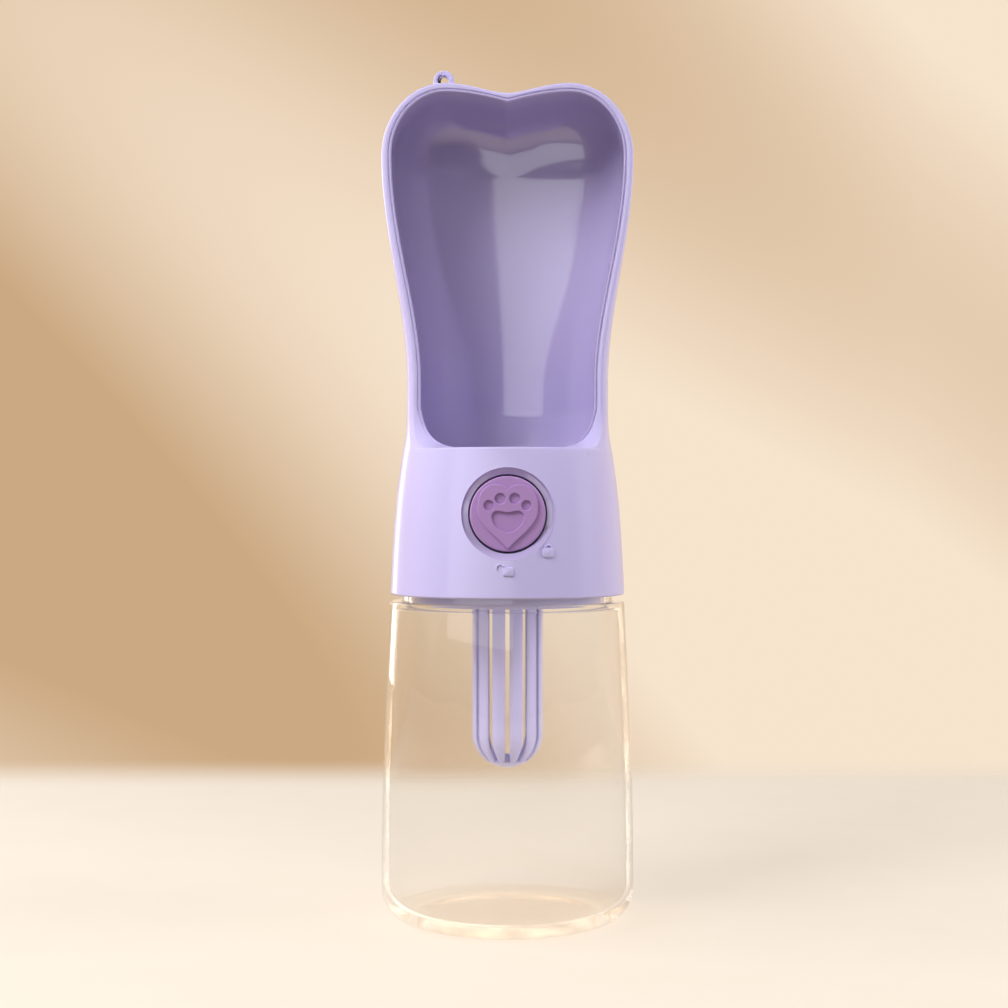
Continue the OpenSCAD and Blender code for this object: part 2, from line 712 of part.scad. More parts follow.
module cross_pin() {
    color([0.75, 0.76, 0.78])
    translate([-fork_gap - fork_t - 0.6, 0, pin_z]) rotate([0, 90, 0])
    cylinder(r = pin_r, h = 2 * (fork_gap + fork_t + 0.6));
}

module valve_seal() {
    color([0.92, 0.92, 0.93])
    difference() {
        union() {
            rod(seal_r, disc_z - seal_t * 0.6, disc_z);
            translate([0, 0, disc_z - seal_t]) cylinder(r1 = seal_r - 1.4, r2 = seal_r,
                h = seal_t * 0.4);
        }
        rod(spigot_r + 0.01, disc_z - seal_t - 1, disc_z + 1);
    }
}

module seal_retainer() {
    color([0.75, 0.76, 0.78])
    tube(seal_r - 2.6, spigot_r + 0.01, disc_z - seal_t - 1.6, disc_z - seal_t);
}

bottle();
neck_gasket();
scoop_head();
outlet_grommet();
valve_chassis();
chassis_seal();
chassis_screws();
button_guide();
guide_screws();
stem_o_ring();
wiper_bush();
cage_o_ring();
filter_cage();
cam_plunger();
button_spring();
button_cap();
cap_o_ring();
cap_clip();
valve_stem();
cross_pin();
valve_seal();
seal_retainer();
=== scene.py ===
import math

import bmesh
import bpy
from mathutils import Matrix, Vector


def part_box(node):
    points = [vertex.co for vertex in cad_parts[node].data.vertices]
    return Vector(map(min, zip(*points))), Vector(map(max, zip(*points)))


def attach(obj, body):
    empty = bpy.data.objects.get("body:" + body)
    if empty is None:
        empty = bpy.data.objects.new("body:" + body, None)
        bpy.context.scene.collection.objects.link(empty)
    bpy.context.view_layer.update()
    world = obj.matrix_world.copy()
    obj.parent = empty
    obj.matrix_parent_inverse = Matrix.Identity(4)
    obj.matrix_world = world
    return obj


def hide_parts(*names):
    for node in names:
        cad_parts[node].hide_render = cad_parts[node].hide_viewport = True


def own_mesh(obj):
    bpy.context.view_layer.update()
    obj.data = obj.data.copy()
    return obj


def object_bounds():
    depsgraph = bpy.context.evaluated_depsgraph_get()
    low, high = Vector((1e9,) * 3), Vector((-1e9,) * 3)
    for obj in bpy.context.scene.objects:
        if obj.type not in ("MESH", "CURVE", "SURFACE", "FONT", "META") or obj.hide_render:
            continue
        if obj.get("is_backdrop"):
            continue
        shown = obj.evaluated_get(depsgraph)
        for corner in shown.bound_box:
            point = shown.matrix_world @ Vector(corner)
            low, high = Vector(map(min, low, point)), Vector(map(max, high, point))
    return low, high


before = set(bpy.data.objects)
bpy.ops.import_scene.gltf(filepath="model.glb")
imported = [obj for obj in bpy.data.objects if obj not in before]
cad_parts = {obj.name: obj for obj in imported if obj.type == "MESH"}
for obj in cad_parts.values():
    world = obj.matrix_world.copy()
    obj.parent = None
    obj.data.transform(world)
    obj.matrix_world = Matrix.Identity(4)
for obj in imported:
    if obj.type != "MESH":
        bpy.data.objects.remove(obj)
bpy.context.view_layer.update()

MM = 0.001
scene = bpy.context.scene

# ---------------------------------------------------------------- camera
# The photograph is a level product shot from about half a metre in front of the bottle, with
# the lens at button height. Its mild perspective shows in the shoulder and foot ellipses.
lens = bpy.data.cameras.new("camera")
lens.lens = 64.8
lens.sensor_width = 36
lens.clip_start = 0.01
camera = bpy.data.objects.new("camera", lens)
camera.location = Vector((-1.05, -544.5, 123.6)) * MM
camera.rotation_euler = (math.radians(90), 0, 0)
scene.collection.objects.link(camera)
scene.camera = camera

# ---------------------------------------------------------------- floor, backdrop and lamps
# A plain pale table top before a warm wall crossed by a soft bar of shade. The key box is high on
# the left, with a weaker fill in front and a box on each side. The front box is only mirrored in
# the gloss, and the back box draws the clear bottle's edge.
scene.view_settings.view_transform = "Standard"


def linear(r, g, b):
    """Screen colour out of 255, as the linear colour that a shader takes."""
    return [c / 12.92 if c <= 0.04045 else ((c + 0.055) / 1.055) ** 2.4
            for c in (r / 255, g / 255, b / 255)]


world = bpy.data.worlds.new("studio")
scene.world = world
world.use_nodes = True
wn, wl = world.node_tree.nodes, world.node_tree.links
wn.clear()
seen = wn.new("ShaderNodeBackground")
seen.inputs["Strength"].default_value = 1.0
facing = wn.new("ShaderNodeTexCoord")
slant = wn.new("ShaderNodeMapping")
slant.inputs["Rotation"].default_value = (0, math.radians(-38), 0)
slant.inputs["Location"].default_value = (0, 0, 0.155)
wl.new(facing.outputs["Generated"], slant.inputs["Vector"])
drift = wn.new("ShaderNodeTexWave")
drift.bands_direction = "Z"
drift.inputs["Scale"].default_value = 0.8
drift.inputs["Distortion"].default_value = 0.6
drift.inputs["Detail"].default_value = 0
wl.new(slant.outputs["Vector"], drift.inputs["Vector"])
across = wn.new("ShaderNodeSeparateXYZ")
wl.new(facing.outputs["Generated"], across.inputs["Vector"])
# Painted shade: the wall grows darker and browner towards the left
shade_to_left = wn.new("ShaderNodeMapRange")
shade_to_left.inputs["From Min"].default_value = -0.34
shade_to_left.inputs["From Max"].default_value = 0.22
wl.new(across.outputs["X"], shade_to_left.inputs["Value"])
patchy = wn.new("ShaderNodeMath")
patchy.operation = "MULTIPLY_ADD"
patchy.inputs[1].default_value = 0.9
patchy.inputs[2].default_value = -0.45
wl.new(drift.outputs["Fac"], patchy.inputs[0])
amount = wn.new("ShaderNodeMath")
amount.operation = "ADD"
amount.use_clamp = True
wl.new(shade_to_left.outputs["Result"], amount.inputs[0])
wl.new(patchy.outputs[0], amount.inputs[1])
backdrop = wn.new("ShaderNodeMix")
backdrop.data_type = "RGBA"
backdrop.inputs["A"].default_value = (*linear(203, 169, 130), 1)
backdrop.inputs["B"].default_value = (*linear(247, 228, 205), 1)
wl.new(amount.outputs[0], backdrop.inputs["Factor"])
wl.new(backdrop.outputs["Result"], seen.inputs["Color"])
lit = wn.new("ShaderNodeBackground")
lit.inputs["Color"].default_value = (*linear(240, 238, 238), 1)
lit.inputs["Strength"].default_value = 0.08
path = wn.new("ShaderNodeLightPath")
either = wn.new("ShaderNodeMath")
either.operation = "MAXIMUM"
wl.new(path.outputs["Is Camera Ray"], either.inputs[0])
wl.new(path.outputs["Is Transmission Ray"], either.inputs[1])
behind = wn.new("ShaderNodeMapRange")
behind.inputs["From Min"].default_value = -0.05
behind.inputs["From Max"].default_value = 0.35
wl.new(across.outputs["Y"], behind.inputs["Value"])
mirrored = wn.new("ShaderNodeMath")
mirrored.operation = "MULTIPLY"
wl.new(path.outputs["Is Glossy Ray"], mirrored.inputs[0])
wl.new(behind.outputs["Result"], mirrored.inputs[1])
shown = wn.new("ShaderNodeMath")
shown.operation = "MAXIMUM"
wl.new(either.outputs[0], shown.inputs[0])
wl.new(mirrored.outputs[0], shown.inputs[1])
choice = wn.new("ShaderNodeMixShader")
wl.new(shown.outputs[0], choice.inputs["Fac"])
wl.new(lit.outputs[0], choice.inputs[1])
wl.new(seen.outputs[0], choice.inputs[2])
wl.new(choice.outputs[0], wn.new("ShaderNodeOutputWorld").inputs["Surface"])


def soft_box(name, place, aim, size, power):
    """A rectangular soft box. place and aim are in millimetres, size is (width, height)."""
    lamp = bpy.data.lights.new(name, "AREA")
    lamp.shape = "RECTANGLE"
    lamp.size, lamp.size_y = size[0] * MM, size[1] * MM
    lamp.energy = power
    box = bpy.data.objects.new(name, lamp)
    box.location = Vector(place) * MM
    box.rotation_mode = "QUATERNION"
    box.rotation_quaternion = (Vector(aim) - Vector(place)).to_track_quat("-Z", "Y")
    box.visible_camera = box.visible_transmission = False
    scene.collection.objects.link(box)
    return box


soft_box("front_box", (-420, -820, 290), (0, 0, 290), (1150, 380), 2.0).visible_diffuse = False
soft_box("key_box", (-540, -470, 740), (0, 0, 110), (480, 420), 7.8).visible_glossy = False
soft_box("fill_box", (200, -760, 640), (0, 0, 150), (700, 500), 1.6).visible_glossy = False
soft_box("side_box", (-620, 40, 420), (0, 0, 150), (260, 620), 2.2).visible_glossy = False
soft_box("right_box", (600, -60, 320), (0, 0, 150), (200, 600), 2.9).visible_glossy = False
soft_box("back_box", (-400, 560, 270), (0, 0, 250), (150, 500), 0.6)

floor_mesh = bpy.data.meshes.new("table_top")
REACH, FADE_FROM, BACK_EDGE = 1.6, 0.24, 0.34
floor_mesh.from_pydata([(-REACH, -REACH, 0), (REACH, -REACH, 0), (REACH, BACK_EDGE, 0),
                        (-REACH, BACK_EDGE, 0)], [], [(0, 1, 2, 3)])
table_top = bpy.data.objects.new("table_top", floor_mesh)
scene.collection.objects.link(table_top)
table_coat = bpy.data.materials.new("table_paint")
table_coat.use_nodes = True
tn, tl = table_coat.node_tree.nodes, table_coat.node_tree.links
paint = tn["Principled BSDF"]
paint.inputs["Roughness"].default_value = 0.75
where = tn.new("ShaderNodeTexCoord")
speck = tn.new("ShaderNodeTexNoise")
speck.inputs["Scale"].default_value = 35
tl.new(where.outputs["Object"], speck.inputs["Vector"])
tone = tn.new("ShaderNodeMix")
tone.data_type = "RGBA"
tl.new(speck.outputs["Fac"], tone.inputs["Factor"])
tone.inputs["A"].default_value = (*linear(250, 237, 222), 1)
tone.inputs["B"].default_value = (*linear(247, 233, 216), 1)
glow = tn.new("ShaderNodeEmission")
tl.new(tone.outputs["Result"], glow.inputs["Color"])
sight = tn.new("ShaderNodeLightPath")
looked = tn.new("ShaderNodeMath")
looked.operation = "MAXIMUM"
tl.new(sight.outputs["Is Camera Ray"], looked.inputs[0])
tl.new(sight.outputs["Is Transmission Ray"], looked.inputs[1])
bounced = tn.new("ShaderNodeMath")
bounced.operation = "MULTIPLY_ADD"
bounced.inputs[1].default_value = 0.6
bounced.use_clamp = True
tl.new(sight.outputs["Is Glossy Ray"], bounced.inputs[0])
tl.new(looked.outputs[0], bounced.inputs[2])
dim = tn.new("ShaderNodeMapRange")
dim.inputs["To Min"].default_value = 0.4
tl.new(bounced.outputs[0], dim.inputs["Value"])
shy = tn.new("ShaderNodeVectorMath")
shy.operation = "SCALE"
tl.new(tone.outputs["Result"], shy.inputs[0])
tl.new(dim.outputs["Result"], shy.inputs["Scale"])
tl.new(shy.outputs["Vector"], paint.inputs["Base Color"])
part = tn.new("ShaderNodeMath")
part.operation = "MULTIPLY"
part.inputs[1].default_value = 0.55
tl.new(bounced.outputs[0], part.inputs[0])
blend = tn.new("ShaderNodeMixShader")
tl.new(part.outputs[0], blend.inputs["Fac"])
tl.new(paint.outputs[0], blend.inputs[1])
tl.new(glow.outputs[0], blend.inputs[2])
depth = tn.new("ShaderNodeSeparateXYZ")
tl.new(where.outputs["Object"], depth.inputs["Vector"])
fade = tn.new("ShaderNodeMapRange")
fade.interpolation_type = "SMOOTHSTEP"
fade.inputs["From Min"].default_value = FADE_FROM
fade.inputs["From Max"].default_value = BACK_EDGE
tl.new(depth.outputs["Y"], fade.inputs["Value"])
edge = tn.new("ShaderNodeMixShader")
tl.new(fade.outputs["Result"], edge.inputs["Fac"])
tl.new(blend.outputs[0], edge.inputs[1])
tl.new(tn.new("ShaderNodeBsdfTransparent").outputs[0], edge.inputs[2])
tl.new(edge.outputs[0], tn["Material Output"].inputs["Surface"])
floor_mesh.materials.append(table_coat)
table_top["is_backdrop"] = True


# ---------------------------------------------------------------- bottle
# The bottle is blown from clear plastic in one piece: a rounded foot with a hollow under it, a
# belly that swells a little, a flat shoulder and a short wide neck with a coarse screw thread.
def piece(name, points, faces, material, angle=35):
    """A closed mesh from points in millimetres, smooth but for edges sharper than angle."""
    mesh = bpy.data.meshes.new(name)
    mesh.from_pydata([Vector(p) * MM for p in points], [], faces)
    mesh.validate()
    mesh.shade_smooth()
    mesh.set_sharp_from_angle(angle=math.radians(angle))
    mesh.materials.append(material)
    thing = bpy.data.objects.new(name, mesh)
    scene.collection.objects.link(thing)
    return thing


def without_repeats(face):
    return [v for n, v in enumerate(face) if v not in face[:n]]


def turned(profile, around=160):
    """Points and faces of a closed (radius, height) outline turned about Z, walked with the
    material on its left. A radius of 0 is a pole."""
    points, rows = [], []
    for r, z in profile:
        if r < 1e-6:
            rows.append([len(points)] * around)
            points.append((0, 0, z))
        else:
            rows.append(list(range(len(points), len(points) + around)))
            points += [(r * math.cos(2 * math.pi * i / around),
                        r * math.sin(2 * math.pi * i / around), z) for i in range(around)]
    faces = []
    closed = profile[0][0] > 1e-6 or profile[-1][0] > 1e-6
    for k in range(len(rows) if closed else len(rows) - 1):
        low, high = rows[k], rows[(k + 1) % len(rows)]
        for i in range(around):
            j = (i + 1) % around
            face = without_repeats([low[i], low[j], high[j], high[i]])
            if len(face) > 2:
                faces.append(face)
    return points, faces


def arc(cx, cy, r, start, end, n):
    """n + 1 points on an arc, angles in degrees."""
    return [(cx + r * math.cos(math.radians(start + (end - start) * i / n)),
             cy + r * math.sin(math.radians(start + (end - start) * i / n))) for i in range(n + 1)]


def clear_plastic(name, tint, ior):
    """Clear plastic. It lets lamps through, so that its shadow is light, and half of what leaves it
    at an inner side goes straight on, so that its thin edges stay pale."""
    stuff = bpy.data.materials.new(name)
    stuff.use_nodes = True
    n, l = stuff.node_tree.nodes, stuff.node_tree.links
    body = n["Principled BSDF"]
    body.inputs["Base Color"].default_value = (*tint, 1)
    body.inputs["Transmission Weight"].default_value = 1
    body.inputs["IOR"].default_value = ior
    body.inputs["Coat Weight"].default_value = 1
    body.inputs["Coat IOR"].default_value = 1.5
    body.inputs["Coat Roughness"].default_value = 0.02
    spot = n.new("ShaderNodeTexCoord")
    haze = n.new("ShaderNodeTexNoise")
    haze.inputs["Scale"].default_value = 90
    l.new(spot.outputs["Object"], haze.inputs["Vector"])
    rough = n.new("ShaderNodeMapRange")
    rough.inputs["To Min"].default_value = 0.0
    rough.inputs["To Max"].default_value = 0.03
    l.new(haze.outputs["Fac"], rough.inputs["Value"])
    l.new(rough.outputs["Result"], body.inputs["Roughness"])
    ray = n.new("ShaderNodeLightPath")
    through = n.new("ShaderNodeBsdfTransparent")
    through.inputs["Color"].default_value = (0.95, 0.945, 0.935, 1)
    side = n.new("ShaderNodeNewGeometry")
    open_to = n.new("ShaderNodeMath")
    open_to.operation = "MULTIPLY_ADD"
    open_to.inputs[1].default_value = 0.5
    open_to.use_clamp = True
    l.new(side.outputs["Backfacing"], open_to.inputs[0])
    l.new(ray.outputs["Is Shadow Ray"], open_to.inputs[2])
    mix = n.new("ShaderNodeMixShader")
    l.new(open_to.outputs[0], mix.inputs["Fac"])
    l.new(body.outputs[0], mix.inputs[1])
    l.new(through.outputs[0], mix.inputs[2])
    l.new(mix.outputs[0], n["Material Output"].inputs["Surface"])
    return stuff


clear = clear_plastic("clear_bottle_plastic", (0.99, 0.985, 0.98), 1.05)
BODY_H, BASE_R, BELLY_R, BELLY_H, FOOT_CORNER = 94.7, 35.0, 37.6, 22.0, 9.0
NECK_R, NECK_BORE, NECK_TOP, SHELL = 31.4, 29.0, 104.5, 2.0
FLOOR_LOW, FLOOR_HIGH = 1.2, 3.8


def body_side(z):
    return BELLY_R - (BELLY_R - BASE_R) * max((z - BELLY_H) / (BODY_H - BELLY_H), 0) ** 1.5


foot_r = BELLY_R - FOOT_CORNER
steps = [BELLY_H + (BODY_H - 0.8 - BELLY_H) * i / 28 for i in range(29)]
outside = [(0, FLOOR_LOW), (8, FLOOR_LOW * 0.99), (14.5, FLOOR_LOW * 0.9), (20, FLOOR_LOW * 0.6),
           (23.5, FLOOR_LOW * 0.2), (24.6, 0.03), (25.4, 0)]
outside += arc(foot_r, FOOT_CORNER, FOOT_CORNER, -90, 0, 20)
outside += [(body_side(z), z) for z in steps]
outside += arc(BASE_R - 0.75, BODY_H - 0.75, 0.75, 0, 90, 6)
outside += arc(NECK_R + 0.6, BODY_H + 0.6, 0.6, -90, -180, 5)
outside += arc(NECK_R - 0.5, NECK_TOP - 0.5, 0.5, 0, 90, 5)
inside = arc(NECK_BORE + 0.4, NECK_TOP - 0.4, 0.4, 90, 180, 4)
inside += [(NECK_BORE, BODY_H - SHELL + 1.2)]
inside += arc(NECK_BORE + 1.2, BODY_H - SHELL + 1.2, 1.2, 180, 270, 6)[1:]
inside += arc(body_side(BODY_H) - SHELL - 1.0, BODY_H - SHELL - 1.0, 1.0, 90, 0, 6)
inside += [(body_side(z) - SHELL, z) for z in reversed(steps) if z < BODY_H - SHELL - 2]
inside += arc(foot_r, FLOOR_HIGH + FOOT_CORNER - SHELL, FOOT_CORNER - SHELL, 0, -90, 18)
inside += [(18, FLOOR_HIGH + 0.02), (9, FLOOR_HIGH + 0.05), (0, FLOOR_HIGH + 0.06)]
points, faces = turned(outside + inside, 192)


def thread(points, faces, radius, depth, start_z, pitch, turns, inward=False, lean=0.9):
    """Adds one helical ridge on a wall of that radius. It fades in and out at its ends."""
    steps = int(72 * turns)
    first = len(points)
    side = -1 if inward else 1
    for i in range(steps + 1):
        a = 2 * math.pi * i / 72
        fade = min(1, i / 9, (steps - i) / 9)
        z = start_z + pitch * i / 72
        d = depth * math.sin(fade * math.pi / 2)
        half = lean * (0.35 + 0.65 * fade)
        for dr, dz in ((-0.15, -half), (d * 0.8, -half * 0.5), (d, -half * 0.2),
                       (d, half * 0.2), (d * 0.8, half * 0.5), (-0.15, half)):
            r = radius + side * dr
            points.append((r * math.cos(a), r * math.sin(a), z + dz))
    for i in range(steps):
        for k in range(6):
            q = first + 6 * i
            n = (k + 1) % 6
            face = [q + k, q + 6 + k, q + 6 + n, q + n]
            faces.append(face[::-1] if inward else face)
    ends = [[first + k for k in range(6)], [first + 6 * steps + k for k in reversed(range(6))]]
    faces += [e[::-1] for e in ends] if inward else ends


thread(points, faces, NECK_R, 0.7, BODY_H + 2.6, 4.0, 1.25)
bottle = piece("clear_bottle", points, faces, clear, 50)
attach(bottle, "bottle")
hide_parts("bottle")


# ---------------------------------------------------------------- head moulding
# The head is one lavender moulding: a housing that flares down over the neck and a deep
# drinking scoop above it, whose rim rises from the front lip and ends in two round lobes.
def moulded(name, colour, rough, mottle=0.03, grain=0.00002, coat=0.0, soft=0.0):
    """Moulded plastic: faint flow marks in its colour, uneven gloss and a very fine skin."""
    stuff = bpy.data.materials.new(name)
    stuff.use_nodes = True
    n, l = stuff.node_tree.nodes, stuff.node_tree.links
    body = n["Principled BSDF"]
    body.inputs["IOR"].default_value = 1.5
    body.inputs["Coat Weight"].default_value = coat
    body.inputs["Coat Roughness"].default_value = 0.12
    body.inputs["Coat IOR"].default_value = 1.8
    if soft:
        body.inputs["Subsurface Weight"].default_value = soft
        body.inputs["Subsurface Radius"].default_value = (1, 0.8, 1)
        body.inputs["Subsurface Scale"].default_value = 0.0015
    spot = n.new("ShaderNodeTexCoord")
    flow = n.new("ShaderNodeTexNoise")
    flow.inputs["Scale"].default_value = 28
    flow.inputs["Detail"].default_value = 3
    l.new(spot.outputs["Object"], flow.inputs["Vector"])
    shade = n.new("ShaderNodeMix")
    shade.data_type = "RGBA"
    shade.inputs["A"].default_value = (*[c * (1 - mottle) for c in colour], 1)
    shade.inputs["B"].default_value = (*[min(c * (1 + mottle), 1) for c in colour], 1)
    l.new(flow.outputs["Fac"], shade.inputs["Factor"])
    l.new(shade.outputs["Result"], body.inputs["Base Color"])
    skin = n.new("ShaderNodeTexNoise")
    skin.inputs["Scale"].default_value = 1400
    skin.inputs["Detail"].default_value = 2
    l.new(spot.outputs["Object"], skin.inputs["Vector"])
    gloss = n.new("ShaderNodeMapRange")
    gloss.inputs["To Min"].default_value = max(rough - 0.05, 0.02)
    gloss.inputs["To Max"].default_value = rough + 0.05
    l.new(flow.outputs["Fac"], gloss.inputs["Value"])
    l.new(gloss.outputs["Result"], body.inputs["Roughness"])
    bump = n.new("ShaderNodeBump")
    bump.inputs["Strength"].default_value = 0.25
    bump.inputs["Distance"].default_value = grain
    l.new(skin.outputs["Fac"], bump.inputs["Height"])
    l.new(bump.outputs["Normal"], body.inputs["Normal"])
    return stuff


LAVENDER = linear(202, 192, 238)
lavender = moulded("lavender_gloss", LAVENDER, 0.3, 0.01, 0.000006, 0.3, 0.0)
# The scoop's inside and the dish round the button take a full clear coat and a deeper tone of the
# same lavender, which is painted shade for the hollow of the scoop and the dish
shaded_lavender = moulded("lavender_painted_shade", linear(183, 171, 214), 0.4, 0.01, 0.000003, 1.0)

HEAD_Z, LIP_Z, TAPER, SKIRT_IN = 96.7, 139.8, 3.8, 32.4
FLOOR_Z, CEILING_Z, WALL = 138.2, 135.8, 2.4
LEDGE_Z, LEDGE_TOP, LEDGE_BORE = 106.0, 107.8, 19.2
LIP_R = BASE_R - TAPER
WAIST_R = LIP_R - 1.05
RIM_T = 2.9
PAN_FILLET, PAN_ROUND = 17.0, 8.0
BUTTON_Z, RECESS_R, GUIDE_BORE, BOSS_R, BOSS_BACK = 120.8, 13.1, 11.05, 13.2, 27.0
RISER_Y, RISER_HOLE = 13.8, 4.0


def head_r(z):
    u = (z - HEAD_Z) / (LIP_Z - HEAD_Z)
    return BASE_R - TAPER * (u + u ** 3) / 2


def pan_drop(z):
    h = max(FLOOR_Z + PAN_FILLET - z, 0) / PAN_FILLET
    return PAN_ROUND * (1 - math.sqrt(max(1 - h * h, 0)))


levels = [HEAD_Z + 0.6 + (LIP_Z - 0.7 - HEAD_Z - 0.6) * i / 40 for i in range(41)]
shell = [(SKIRT_IN + 0.3, HEAD_Z)] + arc(head_r(HEAD_Z) - 0.6, HEAD_Z + 0.6, 0.6, -90, -4, 5)
shell += [(head_r(z), z) for z in levels]
shell += arc(LIP_R - 0.5, LIP_Z - 0.5, 0.5, 12, 90, 6)
shell += [(LIP_R - RIM_T - pan_drop(LIP_Z - 0.3) + 0.5, LIP_Z)]
shell += [(LIP_R - RIM_T - pan_drop(z), z)
          for z in [LIP_Z - 0.25 - (LIP_Z - 0.25 - FLOOR_Z) * math.sin(math.pi / 2 * i / 14)
                    for i in range(15)]]
shell += [(10, FLOOR_Z), (0, FLOOR_Z)]
under = [(0, CEILING_Z), (head_r(CEILING_Z) - WALL - 0.8, CEILING_Z),
         (head_r(CEILING_Z) - WALL, CEILING_Z - 0.8)]
under += [(head_r(z) - WALL, z) for z in [132, 128, 124, 120, 116, 112, LEDGE_TOP]]
under += [(LEDGE_BORE, LEDGE_TOP), (LEDGE_BORE, LEDGE_Z), (SKIRT_IN, LEDGE_Z),
          (SKIRT_IN, HEAD_Z + 0.3)]
points, faces = turned(shell + under, 256)
housing = piece("head_housing", points, faces, lavender, 30)


def dish_wall(a, r, depth):
    """A point of the dish round the button, at angle a, and depth mm under the head's side."""
    x, z = r * math.cos(a), BUTTON_Z + r * math.sin(a)
    return (x, -math.sqrt(head_r(z) ** 2 - x * x) + depth, z)


def dish_inner(a):
    """The dish's inner edge lies between the curved side and a flat face round the button."""
    x, y, z = dish_wall(a, GUIDE_BORE + 0.2, 0)
    return (x, 0.6 * y - 0.4 * 31.9 + 1.35, z)


# Button boss behind the front wall, joined to it
ring = 96
points, faces = turned([(BOSS_R, 0), (BOSS_R, 6.2), (0, 6.2), (0, 0)][::-1], ring)
boss = piece("boss", [(x, -BOSS_BACK - z, BUTTON_Z + y) for x, y, z in points], faces, lavender)
# Cutter for the dish and the bore through the boss
cut = []
for i in range(ring):
    a = 2 * math.pi * i / ring
    inner, rim = Vector(dish_inner(a)), Vector(dish_wall(a, RECESS_R, 0))
    ledge = Vector(dish_wall(a, RECESS_R - 0.42, 0.62))
    flare = rim + (rim - ledge) * 0.8
    bore = Vector((inner.x, -BOSS_BACK + 3, inner.z))
    cut += [tuple(p) for p in (flare + Vector((0, -3, 0)), flare, ledge, inner, bore)]
cut_faces = []
for i in range(ring):
    j = (i + 1) % ring
    for k in range(4):
        cut_faces.append([5 * i + k, 5 * i + k + 1, 5 * j + k + 1, 5 * j + k])
cut_faces += [[5 * i for i in range(ring)], [5 * i + 4 for i in reversed(range(ring))]]
# The cutter's deeper tone passes to the dish round the button as painted shade
dish = piece("dish", cut, cut_faces, shaded_lavender)
points, faces = turned([(RISER_HOLE, 130), (RISER_HOLE, 142), (0, 142), (0, 130)][::-1], 48)
outlet = piece("outlet", [(x, y + RISER_Y, z) for x, y, z in points], faces, lavender)


def outward(thing):
    """Turns all faces of a closed piece outwards."""
    bpy.context.view_layer.objects.active = thing
    b = bmesh.new()
    b.from_mesh(thing.data)
    bmesh.ops.recalc_face_normals(b, faces=b.faces)
    b.to_mesh(thing.data)
    b.free()


def carve(thing, other, how):
    """Joins other to thing or cuts it away, and removes other."""
    outward(other)
    step = thing.modifiers.new("carve", "BOOLEAN")
    step.operation, step.solver, step.object = how, "EXACT", other
    step.material_mode = "TRANSFER"
    graph = bpy.context.evaluated_depsgraph_get()
    made = bpy.data.meshes.new_from_object(thing.evaluated_get(graph))
    thing.modifiers.clear()
    old = thing.data
    thing.data = made
    bpy.data.meshes.remove(old)
    bpy.data.objects.remove(other)


outward(housing)
carve(housing, boss, "UNION")
carve(housing, dish, "DIFFERENCE")
carve(housing, outlet, "DIFFERENCE")
# The side and lip keep the round form's own normals, so the cut leaves no marks beside it
mesh = housing.data
mesh.shade_smooth()
mesh.set_sharp_from_angle(angle=math.radians(30))
normals = [Vector(c.vector) for c in mesh.corner_normals]
for poly in mesh.polygons:
    where_at = [mesh.vertices[v].co / MM for v in poly.vertices]
    if all(HEAD_Z + 0.5 < p.z < LIP_Z - 0.45 and
           abs(math.hypot(p.x, p.y) - head_r(p.z)) < 0.02 for p in where_at):
        for loop, p in zip(poly.loop_indices, where_at):
            slope = (head_r(p.z + 0.1) - head_r(p.z - 0.1)) / 0.2
            normals[loop] = Vector((p.x, p.y, -slope * math.hypot(p.x, p.y))).normalized()
mesh.normals_split_custom_set(normals)
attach(housing, "head")
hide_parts("scoop_head")

# ---------------------------------------------------------------- scoop
# The scoop is one skin from rim to rim, round the back. Its rim has a rounded outer edge, a
# fine groove and an inner bead, and swings down in a quarter circle to the front lip.
SCOOP_H, HALF_W, WIDEST, TOP_Z = 108.2, 37.6, 226.0, 248.0
BACK, RIM_Y, SWEEP, LOBE_X, LOBE_H, NOTCH = 27.5, 9.7, 11.9, 18.5, 22.0, 3.0
FLARE_Z = LIP_Z + 0.187 * SCOOP_H
SWEEP_Z = LIP_Z - 0.15
WAIST_Z = LIP_Z + 10


def ease(t):
    t = min(max(t, 0), 1)
    return t * t * (3 - 2 * t)


def scoop_side(z):
    lip = 1 - min(max((z - LIP_Z) / 10, 0), 1)
    return WAIST_R + (LIP_R - WAIST_R) * lip ** 2 + (HALF_W - WAIST_R) * ease(
        (z - FLARE_Z) / (WIDEST - FLARE_Z))


def back_depth(z):
    return scoop_side(min(z, WAIST_Z)) + (BACK - WAIST_R) * ease(
        (z - WAIST_Z) / (WIDEST - WAIST_Z) * 1.25)


def upper(z):
    return ease((z - FLARE_Z) / (WIDEST - FLARE_Z))


SWEEP_STEPS, SIDE_STEPS, LOBE_STEPS, NOTCH_STEPS = 14, 46, 26, 16


def rim_path():
    """Stations along the right half of the rim: the stretch, and how far along it from 0 to 1."""
    path = [("sweep", i / SWEEP_STEPS) for i in range(SWEEP_STEPS)]
    path += [("side", i / SIDE_STEPS) for i in range(SIDE_STEPS + 1)]
    path += [("lobe", i / LOBE_STEPS) for i in range(1, LOBE_STEPS + 1)]
    return path + [("notch", i / NOTCH_STEPS) for i in range(1, NOTCH_STEPS + 1)]


